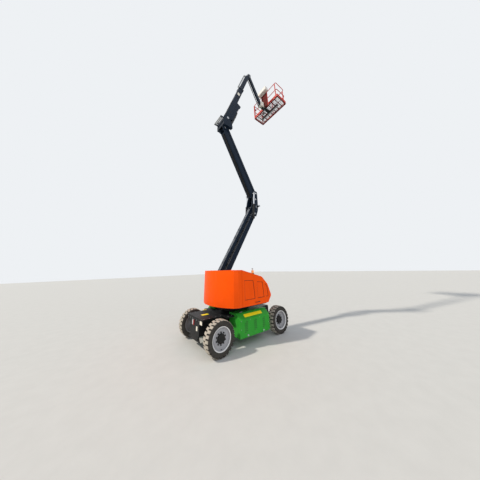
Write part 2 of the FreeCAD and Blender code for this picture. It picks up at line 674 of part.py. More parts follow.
# Box beams with a pair of bored ears at each end

def boxBeam(label, length, width, depth, wall, ear, end, bore, extras=(), cuts=()):
    outer = block(length + "-2*" + end, width, depth, end, "-" + width + "/2", "-" + depth + "/2")
    inner = block(length + "-2*" + end, width + "-2*" + wall, depth + "-2*" + wall, end + "+" + wall,
                  "-" + width + "/2+" + wall, "-" + depth + "/2+" + wall)
    pieces = [without(outer, [inner])]
    for start in ("-" + width + "/2", width + "/2-" + ear):
        pieces.append(rod(depth + "/2", ear, "0", start, "0", "Y"))
        pieces.append(block(end + "+" + wall, ear, depth, "0", start, "-" + depth + "/2"))
        pieces.append(rod(depth + "/2", ear, length, start, "0", "Y"))
        pieces.append(block(end + "+" + wall, ear, depth, length + "-" + end + "-" + wall, start,
                            "-" + depth + "/2"))
    holes = [rod(bore + "+pinFit", width + "+20", place, "-" + width + "/2-10", "0", "Y")
             for place in ("0", length)]
    return keep(without(joined(pieces + list(extras)), holes + list(cuts), "Beam"), label)


def linkBars(label, length, inner, thick, depth, bore):
    # Two flat bars side by side with rounded, bored ends
    bars = []
    for start in (inner, "-(" + inner + ")-" + thick):
        bars.append(joined([
            block(length, thick, depth, "0", start, "-" + depth + "/2"),
            rod(depth + "/2", thick, "0", start, "0", "Y"),
            rod(depth + "/2", thick, length, start, "0", "Y"),
        ]))
    holes = [rod(bore + "+pinFit", "2*(" + inner + "+" + thick + ")+20", place,
                 "-(" + inner + "+" + thick + ")-10", "0", "Y") for place in ("0", length)]
    return keep(without(joined(bars), holes, "Bars"), label)


# Riser: lower pair, mid upright, upper pair

trunnionReach = "riserCylinderOut+eyeWidth/2"
trunnion = rod("trunnionRadius", "2*(" + trunnionReach + ")", "lowerArm-trunnionPlace",
               "-(" + trunnionReach + ")", "0", "Y")
lowerArm = boxBeam("lower_riser_arm", "lowerArm", "armWidth", "armDepth", "armWall", "armEar",
                   "armEnd", "pinRadius", extras=[trunnion])
atPivot(lowerArm, basePivot, size("riserAngle"))

lowerLink = boxBeam("lower_riser_link", "lowerArm", "lowerLinkWidth", "linkDepth", "armWall",
                    "armEar", "linkEnd", "pinRadius")
atPivot(lowerLink, shifted(basePivot, -size("linkShift"), size("linkRise")), size("riserAngle"))

lugReach = "riserCylinderOut-eyeWidth/2-passGap"
lug = rod("trunnionRadius", "2*(" + lugReach + ")", "trunnionPlace", "-(" + lugReach + ")", "0", "Y")
upperArm = boxBeam("upper_riser_arm", "upperArm", "armWidth", "armDepth", "armWall", "armEar",
                   "armEnd", "pinRadius", extras=[lug])
atPivot(upperArm, upperPivot, leanBack)

upperLink = linkBars("upper_riser_link", "upperArm", "linkInner", "linkBar", "linkDepth", "pinRadius")
atPivot(upperLink, shifted(upperPivot, size("linkShift"), size("linkRise")), leanBack)

knee = newBody("mid_upright")
kneeGap = "armWidth/2+passGap+4"
section = sketchOn(knee, "XZ_Plane", kneeGap)
outline(section, [
    ("-armDepth/2-25", "-60"), ("-40", "-armDepth/2-25"), ("70", "-armDepth/2-25"),
    ("kneeShift+95", "130"), ("kneeShift+120", "linkRise"), ("kneeShift+120", "kneeRise+linkRise+40"),
    ("kneeShift+linkShift+40", "kneeRise+linkRise+95"), ("kneeShift-5", "kneeRise+linkRise+95"),
    ("-60", "kneeRise+30"), ("-linkShift-95", "linkRise+70"),
])
sides = pad(knee, section, "kneePlate")
mirrored(knee, [sides])
kneePins = [("0", "0"), ("-linkShift", "linkRise"), ("kneeShift", "kneeRise"),
            ("kneeShift+linkShift", "kneeRise+linkRise")]
for x, z in kneePins:
    section = sketchOn(knee, "XZ_Plane")
    circle(section, "pinRadius", x, z)
    knee.Tip = pad(knee, section, "2*(" + kneeGap + "+kneePlate)", side="Symmetric")
section = sketchOn(knee, "XZ_Plane")
outline(section, [
    ("kneeShift+100", "linkRise-20"), ("kneeShift+120", "linkRise-20"),
    ("kneeShift+120", "kneeRise+linkRise-90"), ("kneeShift+100", "kneeRise+linkRise-90"),
])
knee.Tip = pad(knee, section, "2*(" + kneeGap + ")+kneePlate", side="Symmetric")
section = sketchOn(knee, "XZ_Plane")
circle(section, "kneePegRadius", "kneeShift+45", "linkRise+25")
knee.Tip = pad(knee, section, "2*(" + kneeGap + "+kneePlate+kneePegReach)", side="Symmetric")
atPivot(knee, kneePivot)


# Hydraulic cylinders: a barrel with an eye, and a rod that runs in it with an eye of its own

def barrel(radius, rodRadius, length, pinRadius, neck, sides):
    # sides holds the Y of the middle of each barrel, neck is how far the tube starts past its eye
    pieces = []
    holes = []
    for middle in sides:
        start = middle + "-eyeWidth/2"
        pieces.append(joined([
            rod(radius, length + "-" + pinRadius + "-" + neck, pinRadius + "+" + neck, middle, "0", "X"),
            block(pinRadius + "+" + neck + "+2", "eyeWidth", "2*" + pinRadius, "0", start,
                  "-" + pinRadius),
            rod(pinRadius + "+eyeWall", "eyeWidth", "0", start, "0", "Y"),
        ]))
        holes.append(rod(pinRadius + "+pinFit", "eyeWidth+2", "0", start + "-1", "0", "Y"))
        holes.append(rod(rodRadius + "+rodFit", length, pinRadius + "+eyeWall", middle, "0", "X"))
    return without(joined(pieces) if len(pieces) > 1 else pieces[0], holes, "Barrel")


def pistonRod(radius, length, eyeAt, pinRadius, sides):
    # eyeAt is the distance from the barrel's pin to the rod's eye as the machine stands here
    pieces = []
    holes = []
    for middle in sides:
        start = middle + "-eyeWidth/2"
        pieces.append(joined([
            rod(radius, length + "-" + pinRadius + "-eyeWall/2", "%.3f-%s" % (eyeAt, length), middle, "0",
                "X"),
            rod(pinRadius + "+eyeWall", "eyeWidth", "%.3f" % eyeAt, start, "0", "Y"),
        ]))
        holes.append(rod(pinRadius + "+pinFit", "eyeWidth+2", "%.3f" % eyeAt, start + "-1", "0", "Y"))
    return without(joined(pieces) if len(pieces) > 1 else pieces[0], holes, "PistonRod")


bothSides = ("riserCylinderOut", "-riserCylinderOut")
riserBarrel = keep(barrel("riserBarrelRadius", "riserRodRadius", "riserBarrelLength",
                          "trunnionRadius", "eyeWall", bothSides), "riser_cylinder_barrels")
atPivot(riserBarrel, riserLugLow, riserLean)
riserRod = keep(pistonRod("riserRodRadius", "riserRodLength", riserSpan, "trunnionRadius", bothSides),
                "riser_cylinder_rods")
atPivot(riserRod, riserLugLow, riserLean)

# Riser head: two side plates with the pins of the upper pair, the boom and its lift cylinder

headFrame = newBody("riser_head")
inside = "headHalf-headPlate"
cheek = "armWidth/2+passGap+4"
liftX = "boomPivotShift+liftBaseX"
liftZ = "boomPivotRise-liftBaseDrop"
# Columns: how far in each plate starts, its thickness, its corners
headPlates = [
    (inside, "headPlate", [
        ("-headSkin-110", "46"), ("headFront", "46"), ("headFront", "160"),
        ("boomPivotShift+95", "boomPivotRise+60"), ("boomPivotShift+40", "boomPivotRise+100"),
        ("-headSkin-75", "boomPivotRise+80"), ("-headSkin-110", "boomPivotRise-20")]),
    (cheek, "innerCheek", [
        ("-headSkin-110", "46"), ("-85", "-60"), ("-40", "-95"), ("45", "-95"), ("95", "-50"),
        ("150", "46"), ("150", "330"), ("-headSkin-110", "330")]),
    ("eyeWidth/2+passGap", "lugPlate", [
        ("46-40", "liftZ-15"), ("liftX", "liftZ-45"), ("liftX+45", "liftZ-20"),
        ("liftX+45", "liftZ+20"), ("liftX", "liftZ+50"), ("boomPivotShift+70", "boomPivotRise-132"),
        ("boomPivotShift+45", "boomPivotRise+5"),
        ("boomPivotShift-40", "boomPivotRise+20"), ("46-45", "290")]),
    ("armWidth/2+passGap+4", "headHalf-headPlate-armWidth/2-passGap-4", [
        ("-110", "46"), ("headFront", "46"), ("headFront", "46+headSkin"),
        ("-110", "46+headSkin")]),
    (inside, "earPlate", [
        ("-headSkin-110-earReach", "boomPivotRise-150"), ("-headSkin-100", "boomPivotRise-150"),
        ("-headSkin-100", "boomPivotRise-90"), ("-headSkin-110-earReach", "boomPivotRise-90")]),
]
for start, thick, corners in headPlates:
    section = sketchOn(headFrame, "XZ_Plane", start)
    outline(section, [(x.replace("liftX", liftX), z.replace("liftZ", liftZ)) for x, z in corners])
    cheeks = pad(headFrame, section, thick)
    mirrored(headFrame, [cheeks])
# Columns: X, Z, radius and length of each pin
headPins = [("0", "0", "pinRadius", "2*(" + cheek + "+innerCheek)"),
            ("linkShift", "linkRise", "pinRadius", "2*(" + cheek + "+innerCheek)"),
            ("boomPivotShift", "boomPivotRise", "pinRadius", "2*headHalf"),
            (liftX, liftZ, "liftPinRadius", "eyeWidth+2*passGap+2*lugPlate")]
for x, z, radius, length in headPins:
    section = sketchOn(headFrame, "XZ_Plane")
    circle(section, radius, x, z)
    headFrame.Tip = pad(headFrame, section, length, side="Symmetric")
section = sketchOn(headFrame, "XZ_Plane")
outline(section, [
    ("-headSkin-110", "46"), ("-110", "46"), ("-110", "boomPivotRise-40"),
    ("-headSkin-110", "boomPivotRise-40"),
])
headFrame.Tip = pad(headFrame, section, "2*(" + inside + ")+headPlate", side="Symmetric")
atPivot(headFrame, headPivot)

rollers = keep(joined([
    rod("rollerRadius", "2*(" + inside + "-seatFit)", x, "-(" + inside + ")+seatFit",
        "boomPivotRise-120", "Y") for x in ("-110-earReach", "-50-earReach")], "Rollers"),
    "hose_rollers")
atPivot(rollers, headPivot)

# Main boom: outer section with a lug under it, inner section, and the hose carrier on top

outerTube = without(
    block("outerLength-outerDepth/2", "outerWidth", "outerDepth", "outerDepth/2", "-outerWidth/2",
          "-outerDepth/2"),
    [block("outerLength", "outerWidth-2*outerWall", "outerDepth-2*outerWall",
           "outerDepth/2+outerWall", "-outerWidth/2+outerWall", "-outerDepth/2+outerWall")])
collar = without(
    block("collarLength", "outerWidth+2*collarProud", "outerDepth+2*collarProud",
          "outerLength-collarLength", "-outerWidth/2-collarProud", "-outerDepth/2-collarProud"),
    [block("collarLength+2", "innerWidth+2*rodFit", "innerDepth+2*rodFit",
           "outerLength-collarLength-1", "-innerWidth/2-rodFit", "-innerDepth/2-rodFit")])
pieces = [outerTube, collar]
for start in ("-outerWidth/2", "outerWidth/2-boomEar"):
    pieces.append(rod("boomEarRadius", "boomEar", "0", start, "0", "Y"))
    pieces.append(block("outerDepth/2+outerWall", "boomEar", "2*boomEarRadius", "0", start,
                        "-boomEarRadius"))
lugDepth = "liftLugDrop+liftPinRadius+eyeWall-outerDepth/2"
for start in ("eyeWidth/2+passGap", "-eyeWidth/2-passGap-lugPlate"):
    pieces.append(block("4*(liftPinRadius+eyeWall)", "lugPlate", lugDepth,
                        "liftLugX-2*(liftPinRadius+eyeWall)", start,
                        "-liftLugDrop-liftPinRadius-eyeWall"))
for start in ("eyeWidth/2+passGap+lugPlate/2", "-eyeWidth/2-passGap-lugPlate*3/2"):
    pieces.append(rod("liftPinRadius", "lugPlate", "liftLugX", start, "-liftLugDrop", "Y"))
boomHoles = [rod("pinRadius+pinFit", "outerWidth+20", "0", "-outerWidth/2-10", "0", "Y")]
boomOuter = keep(without(joined(pieces), boomHoles, "BoomOuter"), "boom_outer")
atPivot(boomOuter, boomPivot, size("boomAngle"))

# A long stiffening cheek on either side of the lift cylinder's lug
cheekShape = doc.addObject("PartDesign::Body", "CheekPlate")
section = sketchOn(cheekShape, "XZ_Plane", "liftBarrelRadius+cheekGap")
outline(section, [
    ("cheekBack", "-outerDepth/2-seatFit"), ("cheekBack+60", "-cheekDrop"),
    ("liftLugX-150", "-liftLugDrop+10"), ("liftLugX-90", "-liftLugDrop-liftPinRadius-eyeWall"),
    ("liftLugX+90", "-liftLugDrop-liftPinRadius-eyeWall"), ("liftLugX+110", "-outerDepth/2-seatFit"),
])
pad(cheekShape, section, "cheekPlate")
doc.recompute()
cheekTwin = doc.addObject("Part::Mirroring", "CheekTwin")
cheekTwin.Source = cheekShape
cheekTwin.Normal = vector(0, 1, 0)
boomCheeks = keep(joined([cheekShape, cheekTwin], "BoomCheeks"), "boom_cheeks")
atPivot(boomCheeks, boomPivot, size("boomAngle"))

innerStart = "outerLength-innerOverlap"
innerTube = without(
    block("boomLength-tipReach-(" + innerStart + ")", "innerWidth", "innerDepth", innerStart,
          "-innerWidth/2", "-innerDepth/2"),
    [block("boomLength-tipReach-(" + innerStart + ")-innerWall", "innerWidth-2*innerWall",
           "innerDepth-2*innerWall", innerStart + "-1", "-innerWidth/2+innerWall",
           "-innerDepth/2+innerWall")])
pieces = [innerTube]
for start in ("-innerWidth/2", "innerWidth/2-tipEar"):
    pieces.append(rod("tipRound", "tipEar", "boomLength", start, "0", "Y"))
    pieces.append(block("tipReach+innerWall", "tipEar", "2*tipRound", "boomLength-tipReach-innerWall",
                        start, "-tipRound"))
tipHole = [rod("jibPin+pinFit", "innerWidth+20", "boomLength", "-innerWidth/2-10", "0", "Y")]
boomInner = keep(without(joined(pieces), tipHole, "BoomInner"), "boom_inner")
atPivot(boomInner, boomPivot, size("boomAngle"))

carrierStart = "outerLength+60"
carrierBase = "outerDepth/2+collarProud+passGap"
carrier = keep(joined([
    block("carrierLength", "carrierWidth", "carrierDepth", carrierStart, "-carrierWidth/2", carrierBase),
    block("2*carrierDepth", "carrierWidth", carrierBase + "+2-innerDepth/2-seatFit",
          carrierStart + "+carrierLength-2*carrierDepth", "-carrierWidth/2", "innerDepth/2+seatFit"),
], "Carrier"), "hose_carrier")
atPivot(carrier, boomPivot, size("boomAngle"))

liftBarrel = keep(barrel("liftBarrelRadius", "liftRodRadius", "liftBarrelLength", "liftPinRadius",
                         "liftNeck", ("0",)), "lift_cylinder_barrel")
atPivot(liftBarrel, liftBase, liftLean)
liftRod = keep(pistonRod("liftRodRadius", "liftRodLength", liftSpan, "liftPinRadius", ("0",)),
               "lift_cylinder_rod")
atPivot(liftRod, liftBase, liftLean)

# Bracket at the boom tip: two plates with the pins of the boom, the jib and its link

plateIn = "innerWidth/2+passGap"
tipBracket = newBody("jib_bracket")
section = sketchOn(tipBracket, "XZ_Plane", plateIn)
outline(section, [
    ("-45", "-30"), ("jibPivotShift+jibLinkShift-40", "jibPivotRise-jibLinkDrop-35"),
    ("jibPivotShift+jibLinkShift+35", "jibPivotRise-jibLinkDrop-35"),
    ("jibPivotShift+50", "jibPivotRise-30"), ("jibPivotShift+50", "jibPivotRise+50"),
    ("jibPivotShift-40", "jibPivotRise+50"), ("-45", "40"),
])
cheeks = pad(tipBracket, section, "bracketPlate")
mirrored(tipBracket, [cheeks])
for x, z in (("0", "0"), ("jibPivotShift", "jibPivotRise"),
             ("jibPivotShift+jibLinkShift", "jibPivotRise-jibLinkDrop")):
    section = sketchOn(tipBracket, "XZ_Plane")
    circle(section, "jibPin", x, z)
    tipBracket.Tip = pad(tipBracket, section, "2*(" + plateIn + "+bracketPlate)", side="Symmetric")
atPivot(tipBracket, tipPivot)

jibBeam = boxBeam("jib_beam", "jibLength", "jibWidth", "jibDepth", "jibWall", "jibEar", "jibDepth",
                  "jibPin")
atPivot(jibBeam, jibPivot, size("jibAngle"))
jibLink = linkBars("jib_link", "jibLength", "jibWidth/2+passGap", "jibBar", "jibBarDepth", "jibPin")
atPivot(jibLink, shifted(jibPivot, size("jibLinkShift"), -size("jibLinkDrop")), size("jibAngle"))

# Bracket at the jib's end with the housing of the platform rotator

endIn = "jibWidth/2+jibBar+2*passGap"
endBracket = newBody("platform_bracket")
section = sketchOn(endBracket, "XZ_Plane", endIn)
outline(section, [
    ("-40", "-45"), ("jibLinkShift-35", "-jibLinkDrop-35"), ("jibLinkShift+40", "-jibLinkDrop-35"),
    ("rotatorShift-rotatorRadius-40", "-rotatorBottom+20"), ("rotatorShift", "-rotatorBottom+20"),
    ("rotatorShift", "60"), ("20", "50"), ("-40", "50"),
])
cheeks = pad(endBracket, section, "bracketPlate")
mirrored(endBracket, [cheeks])
for x, z in (("0", "0"), ("jibLinkShift", "-jibLinkDrop")):
    section = sketchOn(endBracket, "XZ_Plane")
    circle(section, "jibPin", x, z)
    endBracket.Tip = pad(endBracket, section, "2*(" + endIn + "+bracketPlate)", side="Symmetric")
section = sketchOn(endBracket, "XY_Plane", "-rotatorBottom")
circle(section, "rotatorRadius", "rotatorShift", "0")
endBracket.Tip = pad(endBracket, section, "rotatorBottom+rotatorTop")
atPivot(endBracket, jibEnd)

# Platform mount: a clamp above and below the rotator, an arm and a beam under the floor

gap = "bearingFit"
armTop = "platformFloor-floorFrame-seatFit"
pieces = [
    rod("rotatorRadius", "mountPlate", "0", "0", "rotatorTop+" + gap),
    rod("rotatorRadius", "mountPlate", "0", "0", "-rotatorBottom-mountPlate-" + gap),
    block("rotatorRadius+mountPlate*2", "mountWidth", "mountPlate", "0", "-mountWidth/2",
          "rotatorTop+" + gap),
    block("rotatorRadius+mountPlate*2", "mountWidth", "mountPlate", "0", "-mountWidth/2",
          "-rotatorBottom-mountPlate-" + gap),
    block("mountPlate", "mountWidth", "rotatorTop+rotatorBottom+2*(mountPlate+" + gap + ")",
          "rotatorRadius+mountPlate", "-mountWidth/2", "-rotatorBottom-mountPlate-" + gap),
    block("platformShift-rotatorRadius-mountPlate+supportBeam/2", "mountWidth", "supportBeam",
          "rotatorRadius+mountPlate", "-mountWidth/2", armTop + "-supportBeam"),
    block("supportBeam", "supportReach", "supportBeam", "platformShift-supportBeam/2",
          "-supportReach/2", armTop + "-supportBeam"),
]
mount = keep(joined(pieces, "PlatformMount"), "platform_mount")
atPivot(mount, rotatorAxis)

# Platform: floor frame and grating, tube rails, toe boards, gate and control console

halfLong = "platformLength/2"
halfDeep = "platformDepth/2"
floorRim = without(
    block("platformDepth", "platformLength", "floorFrame-floorPlate", "-" + halfDeep, "-" + halfLong,
          "-floorFrame"),
    [block("platformDepth-80", "platformLength-80", "floorFrame", "-" + halfDeep + "+40",
           "-" + halfLong + "+40", "-floorFrame-1")])
crossBars = [block("platformDepth-60", "30", "floorFrame-floorPlate", "-" + halfDeep + "+30", place,
                   "-floorFrame") for place in ("-platformLength/4-15", "-15", "platformLength/4-15")]
floorBase = keep(joined([floorRim] + crossBars, "FloorFrame"), "platform_floor_frame")
atPivot(floorBase, platformMiddle)

grate = keep(block("platformDepth-2", "platformLength-2", "floorPlate-seatFit", "0", "0", "0"),
             "platform_floor")
for prop in ("Placement.Base.x", "Placement.Base.y", "Placement.Base.z"):
    grate.setExpression(prop, None)
pose(grate, rearAxle + platformMiddle[0] - size("platformDepth") / 2 + 1,
     -size("platformLength") / 2 + 1, platformMiddle[1] - size("floorPlate") + size("seatFit"))

inX = halfDeep + "-tubeRadius"
inY = halfLong + "-tubeRadius"


def bentRail(height):
    # One pipe round three sides: from the gate along the back, round the right end and back
    body = doc.addObject("PartDesign::Body", "BentRail")
    path = sketchOn(body, "XY_Plane", height)
    x, y, bend = value(spread(inX)), value(spread(inY)), size("railBend")
    path.addGeometry(Part.LineSegment(vector(-x, y, 0), vector(-x, bend - y, 0)))
    path.addGeometry(Part.ArcOfCircle(Part.Circle(vector(bend - x, bend - y, 0), vector(0, 0, 1), bend),
                                      math.pi, 1.5 * math.pi))
    path.addGeometry(Part.LineSegment(vector(bend - x, -y, 0), vector(x - bend, -y, 0)))
    path.addGeometry(Part.ArcOfCircle(Part.Circle(vector(x - bend, bend - y, 0), vector(0, 0, 1), bend),
                                      1.5 * math.pi, 2 * math.pi))
    path.addGeometry(Part.LineSegment(vector(x, bend - y, 0), vector(x, y, 0)))
    for number in range(4):
        path.addConstraint(Sketcher.Constraint("Coincident", number, 2, number + 1, 1))
    tie(path, "DistanceX", 0, 1, "-(" + inX + ")")
    tie(path, "DistanceY", 0, 1, inY)
    tie(path, "DistanceX", 4, 2, inX)
    tie(path, "DistanceY", 2, 1, "-(" + inY + ")")
    section = body.newObject("Sketcher::SketchObject", "RailSection")
    section.AttachmentSupport = [(plane(body, "XZ_Plane"), "")]
    section.MapMode = "FlatFace"
    bind(section, ".AttachmentOffset.Base.z", "-(" + inY + ")")
    circle(section, "pipeRadius", "-(" + inX + ")", height)
    pipe = body.newObject("PartDesign::AdditivePipe", "RailPipe")
    pipe.Profile = section
    pipe.Spine = path
    return body


# Columns: X, Y of the middle of each square post
posts = [("-(" + inX + ")", inY), (inX, inY), ("-(" + inX + ")", "railBend+pipeRadius-(" + inY + ")"),
         (inX, "railBend+pipeRadius-(" + inY + ")"), (inX, "0"),
         ("-(" + inX + ")", "-panelWidth/2"), ("-(" + inX + ")", "panelWidth/2")]
pieces = [block("2*tubeRadius", "2*tubeRadius", "railHeight-tubeRadius-seatFit", x + "-tubeRadius",
                y + "-tubeRadius", "seatFit") for x, y in posts]
pieces += [bentRail("railHeight-tubeRadius"), bentRail("midRail")]
for height in ("midRail/2", "midRail+midRail/2"):
    pieces.append(block("gateGap-seatFit+tubeRadius", "12", "60",
                        halfDeep + "-2*tubeRadius-gateGap+seatFit", inY + "-6", height))
rails = keep(joined(pieces, "Rails"), "platform_rails")
atPivot(rails, platformMiddle)

# The gate closes the left end; it turns about its own tube nearest the machine's front
gateEdge = "(" + halfDeep + "-3*tubeRadius-gateGap)"
pieces = [rod("tubeRadius", "railHeight-tubeRadius-gateLift", x, inY, "gateLift")
          for x in (gateEdge, "-" + gateEdge)]
for height in ("railHeight-tubeRadius", "midRail", "gateLift+tubeRadius"):
    pieces.append(rod("tubeRadius", "2*" + gateEdge, "-" + gateEdge, inY, height, "X"))
pieces.append(block("2*" + gateEdge + "-10", "toeThick+seatFit+1", "toeHeight-gateLift",
                    "-" + gateEdge, halfLong + "-1", "gateLift"))
gate = keep(joined(pieces, "Gate"), "gate")
atPivot(gate, platformMiddle)

boards = [
    block("toeThick", "platformLength", "toeHeight", halfDeep + "+seatFit", "-" + halfLong, "0"),
    block("toeThick", "(platformLength-panelWidth)/2-seatFit", "toeHeight",
          "-" + halfDeep + "-toeThick-seatFit", "-" + halfLong, "0"),
    block("toeThick", "(platformLength-panelWidth)/2-seatFit", "toeHeight",
          "-" + halfDeep + "-toeThick-seatFit", "panelWidth/2+seatFit", "0"),
    block("platformDepth", "toeThick", "toeHeight", "-" + halfDeep, "-" + halfLong + "-toeThick-seatFit",
          "0"),
]
toeBoards = keep(joined(boards, "ToeBoards"), "toe_boards")
atPivot(toeBoards, platformMiddle)

panel = keep(block("panelThick", "panelWidth", "railHeight-tubeRadius+floorFrame",
                   "-" + halfDeep + "-panelThick-seatFit", "-panelWidth/2", "-floorFrame"),
             "mount_panel")
panel.setExpression("Placement.Base.x", None)
panel.setExpression("Placement.Base.y", None)
panel.setExpression("Placement.Base.z", None)
pose(panel, rearAxle + platformMiddle[0] - size("platformDepth") / 2 - size("panelThick")
     - size("seatFit"), -size("panelWidth") / 2, platformMiddle[1] - size("floorFrame"))

console = newBody("control_console")
section = sketchOn(console, "XZ_Plane")
low = "railHeight+consoleRise"
outline(section, [
    ("-" + halfDeep + "-consoleDepth", low), ("-" + halfDeep + "+60", low),
    ("-" + halfDeep + "+60", low + "+consoleHeight/2"),
    ("-" + halfDeep + "-20", low + "+consoleHeight"),
    ("-" + halfDeep + "-consoleDepth", low + "+consoleHeight"),
])
pad(console, section, "consoleWidth", side="Symmetric")
section = sketchOn(console, "XY_Plane", "railHeight-tubeRadius+pipeRadius+seatFit")
outline(section, [
    ("-" + halfDeep + "+2", "-150"), ("-" + halfDeep + "+36", "-150"),
    ("-" + halfDeep + "+36", "150"), ("-" + halfDeep + "+2", "150"),
])
console.Tip = pad(console, section, "consoleRise+tubeRadius-pipeRadius")
atPivot(console, platformMiddle)

doc.recompute()

faults = []
for item in doc.Objects:
    if "Invalid" in item.State or "Error" in item.State:
        faults.append("%s (%s) is %s" % (item.Name, item.Label, item.State))
for item in subParts:
    if item.Shape.isNull() or not item.Shape.isValid() or not item.Shape.Solids:
        faults.append("%s has no valid solid" % item.Label)
if faults:
    raise SystemExit("The model did not build: " + "; ".join(faults))

for item in subParts:
    item.Shape.exportStep("parts/%s.step" % item.Label)
    print("%-26s solids %d  volume %8.1f cm3" % (item.Label, len(item.Shape.Solids),
                                                  item.Shape.Volume / 1000))
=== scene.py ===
import json
import math

import bmesh
import bpy
from mathutils import Matrix, Vector

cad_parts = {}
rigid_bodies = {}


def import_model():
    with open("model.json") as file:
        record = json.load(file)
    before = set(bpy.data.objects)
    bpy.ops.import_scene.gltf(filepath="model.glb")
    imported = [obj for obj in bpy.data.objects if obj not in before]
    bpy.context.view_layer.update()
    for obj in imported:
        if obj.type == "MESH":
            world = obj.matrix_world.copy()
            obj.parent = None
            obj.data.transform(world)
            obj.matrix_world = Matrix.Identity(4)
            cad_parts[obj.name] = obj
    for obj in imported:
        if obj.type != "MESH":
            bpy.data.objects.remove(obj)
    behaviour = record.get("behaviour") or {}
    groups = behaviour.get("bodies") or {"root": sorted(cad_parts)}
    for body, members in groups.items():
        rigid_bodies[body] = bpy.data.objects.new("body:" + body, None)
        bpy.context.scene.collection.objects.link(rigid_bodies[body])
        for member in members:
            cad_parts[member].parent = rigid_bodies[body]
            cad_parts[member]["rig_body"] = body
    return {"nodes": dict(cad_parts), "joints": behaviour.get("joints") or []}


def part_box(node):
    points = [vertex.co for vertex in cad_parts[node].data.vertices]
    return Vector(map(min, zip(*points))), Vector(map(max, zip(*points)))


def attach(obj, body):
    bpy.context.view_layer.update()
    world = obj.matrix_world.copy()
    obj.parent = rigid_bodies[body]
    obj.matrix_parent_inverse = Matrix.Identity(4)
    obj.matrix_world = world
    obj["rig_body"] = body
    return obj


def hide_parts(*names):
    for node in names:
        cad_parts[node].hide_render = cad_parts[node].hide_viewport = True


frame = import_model()
nodes = frame["nodes"]
joints = {joint["name"]: joint for joint in frame["joints"]}
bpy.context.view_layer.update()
scene = bpy.context.scene
nodeBody = {name: item["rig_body"] for name, item in nodes.items()}


def colour(text):
    # A colour as on a paint card, turned to linear light
    parts = [int(text[start:start + 2], 16) / 255 for start in (1, 3, 5)]
    return tuple(v / 12.92 if v <= 0.04045 else ((v + 0.055) / 1.055) ** 2.4 for v in parts) + (1.0,)


def addNode(tree, kind, settings=(), inputs=()):
    # Inputs are sockets to link or plain values, by name or by number
    node = tree.nodes.new(kind)
    for name, value in dict(settings).items():
        setattr(node, name, value)
    for name, value in dict(inputs).items():
        if isinstance(value, bpy.types.NodeSocket):
            tree.links.new(value, node.inputs[name])
        else:
            node.inputs[name].default_value = value
    return node


# Dust lies in patches of about 110 mm, thick near the ground and thinner above it; on a tyre it lies on the tops of
# the lugs, by their distance from the axle. On the dark blue arms the same layer is a painted highlight on their
# upward faces.
dustAndSheenLayer = {"patchMm": 111.0, "detail": 6.0, "edge": 0.7, "leftAtTop": 0.15, "roughens": 0.4,
             "lugFoot": 0.338, "lugTop": 0.348, "betweenLugs": 0.10}
